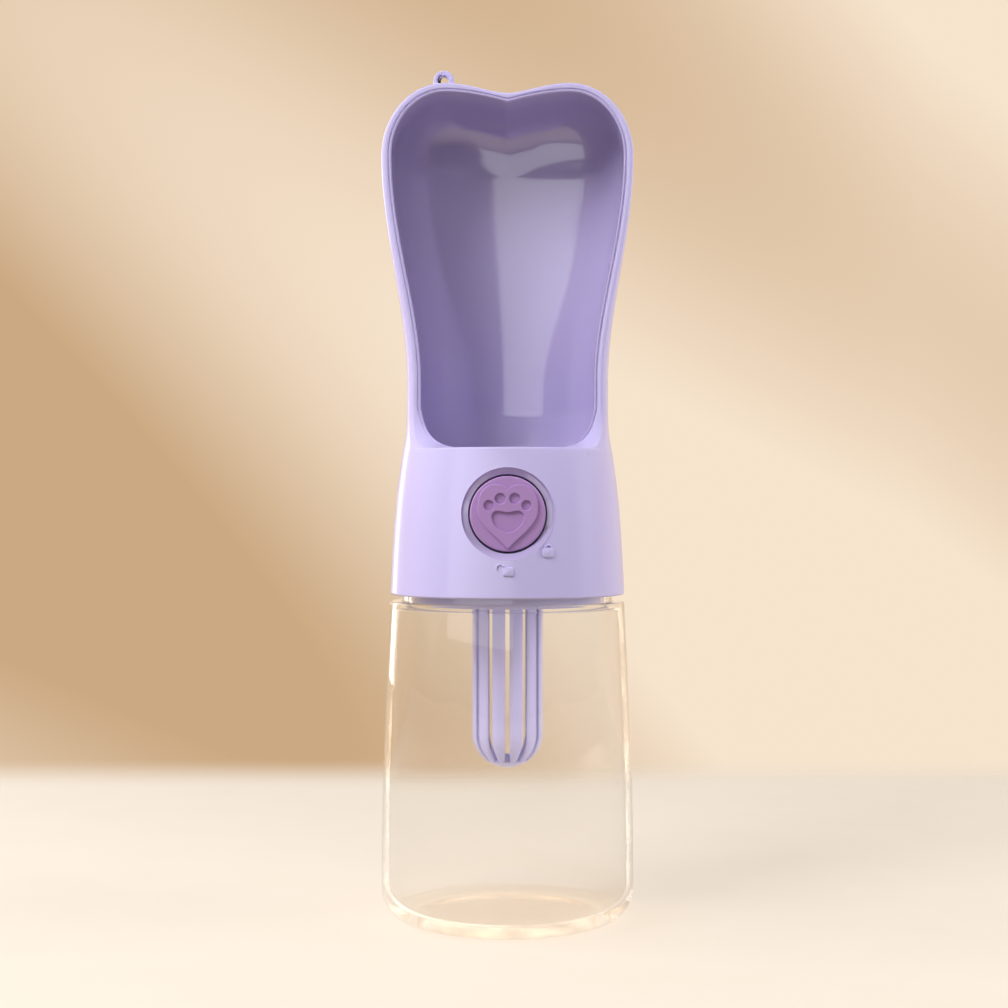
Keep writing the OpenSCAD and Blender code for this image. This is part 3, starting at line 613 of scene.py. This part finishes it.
def station(kind, t, w, tuck):
    """Outline x, outline z, spine z, rim y, back depth, power and front depth of one rib, w mm
    under the outer skin, with its end tuck mm behind the rim's face."""
    if kind == "sweep":
        a = math.radians(90 * t)
        y = -RIM_Y - SWEEP * (1 - math.sin(a)) + tuck * math.sin(a)
        z = SWEEP_Z + SWEEP * (1 - math.cos(a)) - tuck * math.cos(a)
        inner = w + pan_drop(max(z, LIP_Z)) * min(w / RIM_T, 1)
        r = scoop_side(max(z, LIP_Z)) - inner + (0.02 if w == 0 else 0)
        if w == 0 and z < LIP_Z:
            r = head_r(z) + 0.02
        return (r, z, z, y, back_depth(max(z, LIP_Z)) - inner if z > LIP_Z else r, 2, r)
    if kind == "side":
        z = SWEEP_Z + SWEEP + (WIDEST - SWEEP_Z - SWEEP) * t
        r = scoop_side(z) - w
        return (r, z, z, -RIM_Y + tuck, back_depth(z) - w, 2 + 0.35 * upper(z), r + 6 * upper(z))
    top = back_depth(WIDEST) - w
    if kind == "lobe":
        a = math.radians(90 * t)
        return (LOBE_X + (HALF_W - LOBE_X - w) * math.cos(a), WIDEST + (LOBE_H - w) * math.sin(a),
                WIDEST, -RIM_Y + tuck, top, 2.35 + 1.4 * t, HALF_W - w + 6)
    u = 1 - t
    sharp = 1.6 - 0.62 * w / RIM_T
    return (LOBE_X * u, TOP_Z - NOTCH * (1 - math.sin(math.radians(90 * u)) ** sharp) - w,
            WIDEST, -RIM_Y + tuck, top, 3.75, HALF_W - w + 6)


def on_rib(s, c, y):
    return Vector((s[0] * c, y, s[2] + (s[1] - s[2]) * c))


def rib_end(s):
    return on_rib(s, max(1 - (max(-s[3], 0) / s[6]) ** s[5], 0) ** (1 / s[5]), s[3])


def rib(s, behind=34, ahead=9):
    """Points from the spine to the rim."""
    out = []
    for i in range(behind):
        a = math.radians(90 - 90 * i / behind)
        out.append(on_rib(s, math.cos(a) ** (2 / s[5]) if a < math.pi / 2 - 1e-9 else 0,
                          s[4] * math.sin(a) ** (2 / s[5])))
    for i in range(ahead + 1):
        y = s[3] * i / ahead
        out.append(on_rib(s, max(1 - (max(-y, 0) / s[6]) ** s[5], 0) ** (1 / s[5]), y))
    return out


# The rim's section: across the wall from the outer skin, and up from the rim's face
TUCK = 1.3
rim_section = [(0.02, -0.95), (0.12, -0.55), (0.32, -0.22), (0.62, -0.05), (0.95, 0.0),
               (-1.3, 0.0), (-1.16, -0.08), (-1.1, -0.22), (-1.04, -0.38), (-0.9, -0.44),
               (-0.76, -0.38), (-0.7, -0.22), (-0.64, -0.1), (-0.52, -0.02), (-0.36, -0.02),
               (-0.18, -0.14), (-0.08, -0.38), (-0.02, -0.75)]
points, faces, rows = [], [], []
for n, (kind, t) in enumerate([("sweep", 0.0)] + rim_path()):
    drop = 1.2 if n == 0 else 0
    outer, inner = station(kind, t, 0, TUCK), station(kind, t, RIM_T, TUCK)
    if n == 0:
        foot_z = outer[1] - drop
        root_r = head_r(foot_z) + 0.02
        outer = (root_r, foot_z, foot_z, outer[3], root_r, 2, root_r)
        inner = (inner[0], inner[1] - drop, inner[1] - drop, inner[3], inner[0], 2, inner[0])
    edge_o, edge_n = rib_end(station(kind, t, 0, 0)), rib_end(station(kind, t, RIM_T, 0))
    a = math.radians(90 * t) if kind == "sweep" else math.pi / 2
    face = Vector((0, -math.sin(a), math.cos(a)))
    across = (edge_n - edge_o).normalized()
    rim = [(edge_o if u > 0 else edge_n) + across * u + face * v - Vector((0, 0, drop))
           for u, v in rim_section]
    row = rib(outer) + rim + rib(inner)[::-1]
    rows.append(row)
wide = len(rows[0])
count = len(rows)
fan = SWEEP_STEPS + SIDE_STEPS + 1     # ribs past this one share the last straight rib's spine
for row in rows:
    points += [tuple(p) for p in row] + [(-p[0], p[1], p[2]) for p in row]


def at(i, j, left):
    spine = j in (0, wide - 1)
    if spine and i > fan:
        i = fan
    if left and not spine and i < count - 1:
        j += wide
    return i * 2 * wide + j


for i in range(count - 1):
    for j in range(wide - 1):
        right = without_repeats(
            [at(i, j, 0), at(i, j + 1, 0), at(i + 1, j + 1, 0), at(i + 1, j, 0)])
        left = without_repeats(
            [at(i, j, 1), at(i + 1, j, 1), at(i + 1, j + 1, 1), at(i, j + 1, 1)])
        faces += [f for f in (right, left) if len(f) > 2]
for j in range(wide // 2):
    k = wide - 1 - j
    for left in (0, 1):
        face = without_repeats(
            [at(0, j, left), at(0, k, left), at(0, k - 1, left), at(0, j + 1, left)])
        if len(face) > 2:
            faces.append(face[::-1] if left else face)
scoop = piece("drinking_scoop", points, faces, lavender, 60)
# The wall's inner side takes the deeper tone, painted shade of the scoop's hollow, from a little
# past the rim's groove
scoop.data.materials.append(shaded_lavender)
for side in scoop.data.polygons:
    side.material_index = int(min(v % wide for v in side.vertices) >= wide // 2 + 3)
b = bmesh.new()
b.from_mesh(scoop.data)
bmesh.ops.remove_doubles(b, verts=b.verts, dist=2e-6)
bmesh.ops.recalc_face_normals(b, faces=b.faces)
b.to_mesh(scoop.data)
b.free()
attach(scoop, "head")
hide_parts("scoop_head")

# ---------------------------------------------------------------- lanyard eye
# A small round eye stands on the left lobe, moulded in one with the scoop, for a wrist cord.
EYE_X, EYE_Y, EYE_Z, EYE_R, EYE_HOLE, EYE_T = -19.4, 10.0, 252.6, 3.15, 1.5, 3.0
loops = []
for y, grow in ((-EYE_T / 2, -0.35), (-EYE_T / 2 + 0.12, -0.12), (-EYE_T / 2 + 0.4, 0),
                (EYE_T / 2 - 0.4, 0), (EYE_T / 2 - 0.12, -0.12), (EYE_T / 2, -0.35)):
    r = EYE_R + grow
    edge = arc(0, 0, r, 0, 180, 32) + [(-r, -2.6), (-r - 0.35, -4.0), (-r - 0.5, -6.4)]
    edge += [(r + 0.5, -6.4), (r + 0.35, -4.0), (r, -2.6)]
    loops.append([(EYE_X + x, EYE_Y + y, EYE_Z + z) for x, z in edge])
holes = []
for y, grow in ((-EYE_T / 2, 0.3), (-EYE_T / 2 + 0.12, 0.1), (-EYE_T / 2 + 0.35, 0),
                (EYE_T / 2 - 0.35, 0), (EYE_T / 2 - 0.12, 0.1), (EYE_T / 2, 0.3)):
    holes.append([(EYE_X + x, EYE_Y + y, EYE_Z + z)
                  for x, z in arc(0, 0, EYE_HOLE + grow, 0, 360 * 37 / 38, 37)])
points, faces = [], []
for row in loops + holes:
    points += row
m = len(loops[0])
for k in range(5):
    for i in range(m):
        j = (i + 1) % m
        faces.append([k * m + i, k * m + j, (k + 1) * m + j, (k + 1) * m + i])
        q = 6 * m + k * m
        faces.append([q + i, q + m + i, q + m + j, q + j])
for k, back in ((0, False), (5, True)):
    for i in range(m):
        j = (i + 1) % m
        face = [k * m + i, 6 * m + k * m + i, 6 * m + k * m + j, k * m + j]
        faces.append(face if back else face[::-1])
eye = piece("lanyard_eye", points, faces, lavender, 40)
outward(eye)
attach(eye, "head")
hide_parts("scoop_head")


# ---------------------------------------------------------------- padlock signs
# Two little raised padlocks stand on the head beside the button: an open one below it and a
# shut one to its lower right, where the heart's tip points when the lock is turned.
def on_side(x, z, out):
    return (x, -math.sqrt((head_r(z) + out) ** 2 - x * x), z)


def raised(points, faces, outline, x0, z0, height):
    """Adds a low plate with a rounded edge, whose outline is wrapped on the head's side."""
    cx = sum(p[0] for p in outline) / len(outline)
    cz = sum(p[1] for p in outline) / len(outline)
    m = len(outline)
    first = len(points)
    for out, shrink in ((-0.15, 0), (height * 0.45, 0), (height * 0.85, 0.07), (height, 0.2)):
        for x, z in outline:
            d = math.hypot(x - cx, z - cz)
            k = (d - shrink) / d
            points.append(on_side(x0 + cx + (x - cx) * k, z0 + cz + (z - cz) * k, out))
    for k in range(3):
        for i in range(m):
            j = (i + 1) % m
            faces.append([first + k * m + i, first + k * m + j,
                          first + k * m + m + j, first + k * m + m + i])
    faces.append([first + 3 * m + i for i in range(m)])
    faces.append([first + i for i in reversed(range(m))])


def round_box(w, h, r):
    out = []
    for cx, cz, a in ((w / 2 - r, -h / 2 + r, -90), (w / 2 - r, h / 2 - r, 0),
                      (-w / 2 + r, h / 2 - r, 90), (-w / 2 + r, -h / 2 + r, 180)):
        out += arc(cx, cz, r, a, a + 90, 4)
    return out


def shackle(points, faces, line, x0, z0, width, height):
    """Adds a low raised band along a line of (x, z) points."""
    first = len(points)
    for i, (x, z) in enumerate(line):
        ax, az = line[max(i - 1, 0)]
        bx, bz = line[min(i + 1, len(line) - 1)]
        d = math.hypot(bx - ax, bz - az)
        nx, nz = -(bz - az) / d, (bx - ax) / d
        for side, out in ((-0.5, -0.15), (-0.5, height * 0.5), (-0.25, height),
                          (0.25, height), (0.5, height * 0.5), (0.5, -0.15)):
            points.append(on_side(x0 + x + nx * width * side, z0 + z + nz * width * side, out))
    for i in range(len(line) - 1):
        for k in range(6):
            n = (k + 1) % 6
            q = first + 6 * i
            faces.append([q + k, q + n, q + 6 + n, q + 6 + k])
    faces += [[first + k for k in reversed(range(6))],
              [first + 6 * (len(line) - 1) + k for k in range(6)]]


points, faces = [], []
OPEN_AT, SHUT_AT = (0.1, 104.55), (11.45, 109.85)
SIGN_H, BOW_W, BOW_H = 0.45, 0.45, 0.4
raised(points, faces, round_box(3.1, 2.45, 0.5), *OPEN_AT, SIGN_H)
bow = arc(-2.35, 0.35, 1.05, 0, 165, 12)
turn = math.radians(28)
bow = [(-1.15 + (x + 1.3) * math.cos(turn) - z * math.sin(turn),
        1.15 + (x + 1.3) * math.sin(turn) + z * math.cos(turn)) for x, z in bow]
shackle(points, faces, bow, *OPEN_AT, BOW_W, BOW_H)
raised(points, faces, round_box(3.15, 2.65, 0.5), *SHUT_AT, SIGN_H)
shackle(points, faces, [(-0.8, 1.2)] + arc(0, 1.45, 0.8, 180, 0, 10) + [(0.8, 1.2)],
        *SHUT_AT, BOW_W, BOW_H)
signs = piece("padlock_signs", points, faces, lavender, 40)
outward(signs)
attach(signs, "head")
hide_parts("scoop_head")

# ---------------------------------------------------------------- filter cage
# The cage is a lilac moulding: a disc with a cup that pushes up into the neck, and below it a
# tube of twelve bars that flare into the disc and come together in a domed end.
cage_lilac = moulded("cage_lilac", linear(184, 184, 234), 0.35, 0.02, 0.00001, 0.2)
CAGE_TOP, CAGE_R, CAGE_WALL, CAGE_LEN, FLARE = 93.4, 10.4, 1.5, 48.6, 1.4
DOME_Z = CAGE_TOP - CAGE_LEN + CAGE_R
BARS, SLOT = 12, 1.5
CUP_R, CUP_BORE, CUP_TOP, DISC_T = 28.0, 26.6, 103.6, 1.8
run = []          # mid line of a bar from the disc down to the domed end: outer r, z, lean
for i in range(9):
    a = math.radians(90 - 90 * i / 8)
    run.append((CAGE_R + FLARE * (1 - math.cos(a)), CAGE_TOP - FLARE + FLARE * math.sin(a), 0))
run += [(CAGE_R, CAGE_TOP - FLARE - (CAGE_TOP - FLARE - DOME_Z) * i / 12, 0) for i in range(1, 13)]
run += [(CAGE_R * math.cos(math.radians(e)), DOME_Z - CAGE_R * math.sin(math.radians(e)), e)
        for e in [4 * i for i in range(1, 15)]]
bar_points, bar_faces = [], []
for r, z, e in run:
    lean = math.radians(e)
    out = Vector((math.cos(lean), 0, -math.sin(lean)))
    deep = (r - (CAGE_R - CAGE_WALL)) if e == 0 else CAGE_WALL
    half = max(r * math.sin(math.pi / BARS) - SLOT / 2, 0.35)
    half_in = max((r - deep * math.cos(lean)) * math.sin(math.pi / BARS) - SLOT / 2, 0.3)
    mid = Vector((r * math.cos(math.pi / BARS * 0.35), 0, z))
    for u, v in ((-1, -0.55), (-0.9, -0.28), (-0.62, -0.1), (-0.3, -0.02), (0, 0),
                 (0.3, -0.02), (0.62, -0.1), (0.9, -0.28), (1, -0.55)):
        bar_points.append(mid + out * v + Vector((0, half * u, 0)))
    for u, v in ((1, -deep + 0.2), (0.85, -deep), (-0.85, -deep), (-1, -deep + 0.2)):
        bar_points.append(mid + out * v + Vector((0, half_in * u, 0)))
m = 13
for i in range(len(run) - 1):
    for k in range(m):
        n = (k + 1) % m
        bar_faces.append([i * m + k, (i + 1) * m + k, (i + 1) * m + n, i * m + n])
bar_faces += [[k for k in range(m)], [(len(run) - 1) * m + k for k in reversed(range(m))]]
bar = piece("cage_bar", bar_points, bar_faces, cage_lilac, 40)
outward(bar)


def geometry(name, inputs):
    """An empty geometry tree with named inputs, and its input and output nodes."""
    tree = bpy.data.node_groups.new(name, "GeometryNodeTree")
    sockets = {}
    for label, kind in inputs:
        sockets[label] = tree.interface.new_socket(name=label, in_out="INPUT", socket_type=kind)
    tree.interface.new_socket(name="Geometry", in_out="OUTPUT", socket_type="NodeSocketGeometry")
    return tree, sockets, tree.nodes.new("NodeGroupInput"), tree.nodes.new("NodeGroupOutput")


def grown(name, tree, sockets, values):
    """A plain mesh object made by a geometry tree."""
    holder = bpy.data.objects.new(name, bpy.data.meshes.new(name + "_seed"))
    scene.collection.objects.link(holder)
    step = holder.modifiers.new("grow", "NODES")
    step.node_group = tree
    for label, value in values.items():
        step[sockets[label].identifier] = value
    graph = bpy.context.evaluated_depsgraph_get()
    made = bpy.data.meshes.new_from_object(holder.evaluated_get(graph))
    holder.modifiers.clear()
    holder.data = made
    made.name = name
    return holder


# Copies of one object turned about an axis through the origin
tree, turn_in, given, result = geometry("ring_of_copies", [
    ("Copy", "NodeSocketObject"), ("Count", "NodeSocketInt"), ("Axis", "NodeSocketVector"),
    ("Start", "NodeSocketFloat"), ("Finish", "NodeSocketMaterial")])
n, l = tree.nodes, tree.links
source = n.new("GeometryNodeObjectInfo")
l.new(given.outputs["Copy"], source.inputs["Object"])
dots = n.new("GeometryNodeMeshLine")
dots.inputs["Offset"].default_value = (0, 0, 0)
l.new(given.outputs["Count"], dots.inputs["Count"])
number = n.new("GeometryNodeInputIndex")
share = n.new("ShaderNodeMath")
share.operation = "DIVIDE"
l.new(number.outputs[0], share.inputs[0])
l.new(given.outputs["Count"], share.inputs[1])
angle = n.new("ShaderNodeMath")
angle.operation = "MULTIPLY_ADD"
l.new(share.outputs[0], angle.inputs[0])
angle.inputs[1].default_value = 2 * math.pi
l.new(given.outputs["Start"], angle.inputs[2])
spin = n.new("FunctionNodeAxisAngleToRotation")
l.new(given.outputs["Axis"], spin.inputs["Axis"])
l.new(angle.outputs[0], spin.inputs["Angle"])
copies = n.new("GeometryNodeInstanceOnPoints")
l.new(dots.outputs["Mesh"], copies.inputs["Points"])
l.new(source.outputs["Geometry"], copies.inputs["Instance"])
l.new(spin.outputs["Rotation"], copies.inputs["Rotation"])
real = n.new("GeometryNodeRealizeInstances")
l.new(copies.outputs[0], real.inputs[0])
coat = n.new("GeometryNodeSetMaterial")
l.new(real.outputs[0], coat.inputs["Geometry"])
l.new(given.outputs["Finish"], coat.inputs["Material"])
l.new(coat.outputs[0], result.inputs[0])
bars = grown("cage_bars", tree, turn_in, {
    "Copy": bar, "Count": BARS, "Axis": (0.0, 0.0, 1.0),
    "Start": math.radians(-90 + 180 / BARS), "Finish": cage_lilac})
bpy.data.objects.remove(bar)

cup = [(CAGE_R - CAGE_WALL, CAGE_TOP + DISC_T), (CAGE_R - CAGE_WALL, CAGE_TOP + 0.3),
       (CAGE_R - CAGE_WALL + 0.3, CAGE_TOP)]
cup += arc(CUP_R - 0.5, CAGE_TOP + 0.5, 0.5, -90, 0, 5)
cup += arc(CUP_R - 0.4, CUP_TOP - 0.4, 0.4, 0, 90, 4)
cup += [(CUP_BORE, CUP_TOP), (CUP_BORE, CAGE_TOP + DISC_T)]
points, faces = turned(cup, 160)
low = DOME_Z - CAGE_R
bowl = [(0, low)]
for r, angles in ((CAGE_R, (4, 8, 12, 16, 20, 24, 28, 32, 35, 37)),
                  (CAGE_R - CAGE_WALL, (37, 28, 19, 10))):
    bowl += [(r * math.sin(math.radians(a)), DOME_Z - r * math.cos(math.radians(a)))
             for a in angles]
bowl += [(0, low + CAGE_WALL)]
more, more_faces = turned(bowl, 96)
faces += [[len(points) + v for v in f] for f in more_faces]
points += more
cage = piece("cage_disc", points, faces, cage_lilac, 35)
outward(cage)
for thing in (bars, cage):
    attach(thing, "cage")
    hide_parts("filter_cage")

# ---------------------------------------------------------------- push button
# The mauve button is a satin cap with a skirt. Its face carries a raised heart with a sunk paw,
# and two tabs on its skirt ride in the guide's windows, so it presses and turns to lock.
mauve = moulded("mauve_satin", linear(175, 137, 195), 0.42, 0.02, 0.000015, 0.0)
CAP_R, CAP_FACE, CAP_DEPTH, CAP_BORE, FACE_T = 10.75, 32.2, 10.0, 9.0, 1.8
side = [(0, CAP_FACE)]
side += [(r, CAP_FACE) for r in (4, 7, 9.2)]
side += arc(CAP_R - 0.55, CAP_FACE - 0.55, 0.55, 90, 0, 7)
side += [(CAP_R, CAP_FACE - CAP_DEPTH), (CAP_BORE, CAP_FACE - CAP_DEPTH),
         (CAP_BORE, CAP_FACE - FACE_T), (0, CAP_FACE - FACE_T)]
points, faces = turned(side[::-1], 128)


def block(points, faces, low, high):
    """Adds a plain closed block, for a moulded tab."""
    q = len(points)
    for x in (low[0], high[0]):
        for y in (low[1], high[1]):
            points += [(x, y, low[2]), (x, y, high[2])]
    faces += [[q + k for k in f] for f in
              ((0, 1, 3, 2), (4, 6, 7, 5), (0, 4, 5, 1), (2, 3, 7, 6), (0, 2, 6, 4), (1, 5, 7, 3))]


tab = CAP_FACE - CAP_DEPTH + 0.4
block(points, faces, (-2, CAP_R - 0.4, tab), (2, CAP_R + 1.25, tab + 1.8))
block(points, faces, (-2, -CAP_R - 1.25, tab), (2, -CAP_R + 0.4, tab + 1.8))
post, post_faces = turned([(0, 24.3), (2.4, 24.3), (2.4, 27.75), (4.0, 27.75), (4.0, 30.6),
                           (0, 30.6)], 48)
faces += [[len(points) + v for v in f] for f in post_faces]
points += post
cap = piece("button_cap_body", [(x, -z, BUTTON_Z + y) for x, y, z in points], faces, mauve, 35)
outward(cap)


def bezier(p, n):
    out = []
    for i in range(1, n + 1):
        t = i / n
        s = 1 - t
        out.append(tuple(s ** 3 * p[0][k] + 3 * s * s * t * p[1][k] + 3 * s * t * t * p[2][k]
                         + t ** 3 * p[3][k] for k in (0, 1)))
    return out


def both(half):
    return half + [(-x, y) for x, y in half[-2:0:-1]]


heart = both([(0, 7.1)] + bezier([(0, 7.1), (1.2, 8.2), (2.4, 8.4), (3.7, 8.4)], 12)
             + bezier([(3.7, 8.4), (6.6, 8.4), (8.6, 5.4), (8.6, 1.6)], 18)
             + bezier([(8.6, 1.6), (8.6, -3.2), (3.4, -6.2), (0, -10.0)], 26))
pad = both([(0, 0.35)] + bezier([(0, 0.35), (1.3, 0.45), (2.1, 0.85), (3.1, 0.75)], 8)
           + bezier([(3.1, 0.75), (4.1, 0.7), (4.6, -0.2), (4.5, -1.1)], 10)
           + bezier([(4.5, -1.1), (4.1, -3.6), (1.9, -5.2), (0, -5.2)], 12))
outlines = [heart, pad]
for x, y, r in ((-5.35, 2.4, 1.4), (-2.1, 4.3, 1.5), (2.0, 4.3, 1.5), (5.3, 2.4, 1.36)):
    outlines.append(arc(x, y, r, 0, 360 * 31 / 32, 31))
drawn = bpy.data.curves.new("heart", "CURVE")
drawn.dimensions = "2D"
drawn.fill_mode = "BOTH"
ROUND, RAISE = 0.28, 0.85
drawn.extrude = (RAISE - ROUND) * MM
drawn.bevel_depth = ROUND * MM
drawn.bevel_resolution = 3
drawn.offset = -ROUND * MM
for outline in outlines:
    line = drawn.splines.new("POLY")
    line.points.add(len(outline) - 1)
    for p, (x, y) in zip(line.points, outline):
        p.co = (x * MM, y * MM, 0, 1)
    line.use_cyclic_u = True
holder = bpy.data.objects.new("heart", drawn)
scene.collection.objects.link(holder)
graph = bpy.context.evaluated_depsgraph_get()
heart_mesh = bpy.data.meshes.new_from_object(holder.evaluated_get(graph))
bpy.data.objects.remove(holder)
heart_mesh.transform(Matrix.Translation((0, -CAP_FACE * MM, BUTTON_Z * MM))
                     @ Matrix.Rotation(math.pi / 2, 4, "X"))
heart_mesh.shade_smooth()
heart_mesh.set_sharp_from_angle(angle=math.radians(35))
heart_mesh.materials.clear()
heart_mesh.materials.append(mauve)
heart_plate = bpy.data.objects.new("heart_and_paw", heart_mesh)
scene.collection.objects.link(heart_plate)
for thing in (cap, heart_plate):
    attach(thing, "button")
    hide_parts("button_cap")

# ---------------------------------------------------------------- springs
# The button spring is wound from round stainless wire and stands between the guide's end wall
# and the plunger's plate. It pushes the button back out.
steel = bpy.data.materials.new("stainless_wire")
steel.use_nodes = True
n, l = steel.node_tree.nodes, steel.node_tree.links
metal = n["Principled BSDF"]
metal.inputs["Metallic"].default_value = 1
spot = n.new("ShaderNodeTexCoord")
draw_marks = n.new("ShaderNodeTexNoise")
draw_marks.inputs["Scale"].default_value = 900
l.new(spot.outputs["Object"], draw_marks.inputs["Vector"])
shade = n.new("ShaderNodeMix")
shade.data_type = "RGBA"
shade.inputs["A"].default_value = (0.52, 0.53, 0.55, 1)
shade.inputs["B"].default_value = (0.66, 0.67, 0.69, 1)
l.new(draw_marks.outputs["Fac"], shade.inputs["Factor"])
l.new(shade.outputs["Result"], metal.inputs["Base Color"])
gloss = n.new("ShaderNodeMapRange")
gloss.inputs["To Min"].default_value = 0.22
gloss.inputs["To Max"].default_value = 0.38
l.new(draw_marks.outputs["Fac"], gloss.inputs["Value"])
l.new(gloss.outputs["Result"], metal.inputs["Roughness"])

tree, coil_in, given, result = geometry("wound_spring", [
    ("Turns", "NodeSocketFloat"), ("Radius", "NodeSocketFloat"), ("Length", "NodeSocketFloat"),
    ("Wire", "NodeSocketFloat"), ("Place", "NodeSocketVector"), ("Lay", "NodeSocketVector"),
    ("Finish", "NodeSocketMaterial")])
n, l = tree.nodes, tree.links
winding = n.new("GeometryNodeCurveSpiral")
winding.inputs["Resolution"].default_value = 40
l.new(given.outputs["Turns"], winding.inputs["Rotations"])
l.new(given.outputs["Radius"], winding.inputs["Start Radius"])
l.new(given.outputs["Radius"], winding.inputs["End Radius"])
l.new(given.outputs["Length"], winding.inputs["Height"])
rim = n.new("GeometryNodeCurvePrimitiveCircle")
rim.inputs["Resolution"].default_value = 10
l.new(given.outputs["Wire"], rim.inputs["Radius"])
wire = n.new("GeometryNodeCurveToMesh")
wire.inputs["Fill Caps"].default_value = True
l.new(winding.outputs[0], wire.inputs["Curve"])
l.new(rim.outputs["Curve"], wire.inputs["Profile Curve"])
lay = n.new("GeometryNodeTransform")
l.new(wire.outputs[0], lay.inputs["Geometry"])
l.new(given.outputs["Place"], lay.inputs["Translation"])
l.new(given.outputs["Lay"], lay.inputs["Rotation"])
real = n.new("GeometryNodeRealizeInstances")
l.new(lay.outputs[0], real.inputs[0])
coat = n.new("GeometryNodeSetMaterial")
l.new(real.outputs[0], coat.inputs["Geometry"])
l.new(given.outputs["Finish"], coat.inputs["Material"])
l.new(coat.outputs[0], result.inputs[0])
WIRE_R, COIL_R, TURNS, PRESS = 0.4, 8.0, 7.0, 3.5
low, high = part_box("button_spring")
spring = grown("button_return_spring", tree, coil_in, {
    "Turns": TURNS, "Radius": COIL_R * MM, "Length": high.y - low.y - 2 * WIRE_R * MM,
    "Wire": WIRE_R * MM, "Place": (0.0, high.y - WIRE_R * MM, BUTTON_Z * MM),
    "Lay": (math.pi / 2, 0.0, 0.0),
    "Finish": steel})
spring.data.shade_smooth()
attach(spring, "plunger")
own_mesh(spring)
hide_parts("button_spring")

# ---------------------------------------------------------------- pieces inside the head
# The chassis, guide, plunger, stem, seals and screws are plain mouldings, turned pins and rings.
# They keep their solid's own shape, and each has the finish of its real material.
violet = moulded("violet_satin", linear(150, 138, 182), 0.42, 0.03, 0.00002)
pale = moulded("pale_lilac", linear(205, 200, 216), 0.45, 0.03, 0.00002)
acetal = moulded("white_acetal", linear(232, 230, 234), 0.4, 0.02, 0.00002)
silicone = moulded("white_silicone", linear(230, 229, 232), 0.55, 0.02, 0.00004, 0.0, 0.3)
rubber = moulded("black_ring_rubber", linear(40, 39, 41), 0.6, 0.1, 0.00005)
finishes = {
    "neck_gasket": silicone, "outlet_grommet": silicone, "valve_seal": silicone,
    "valve_chassis": violet, "button_guide": pale, "wiper_bush": acetal, "cam_plunger": acetal,
    "valve_stem": acetal, "chassis_seal": rubber, "stem_o_ring": rubber, "cage_o_ring": rubber,
    "cap_o_ring": rubber, "chassis_screws": steel, "guide_screws": steel, "cap_clip": steel,
    "cross_pin": steel, "seal_retainer": steel}
for name, finish in finishes.items():
    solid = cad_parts[name]
    solid.data.materials.clear()
    solid.data.materials.append(finish)

low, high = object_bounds()
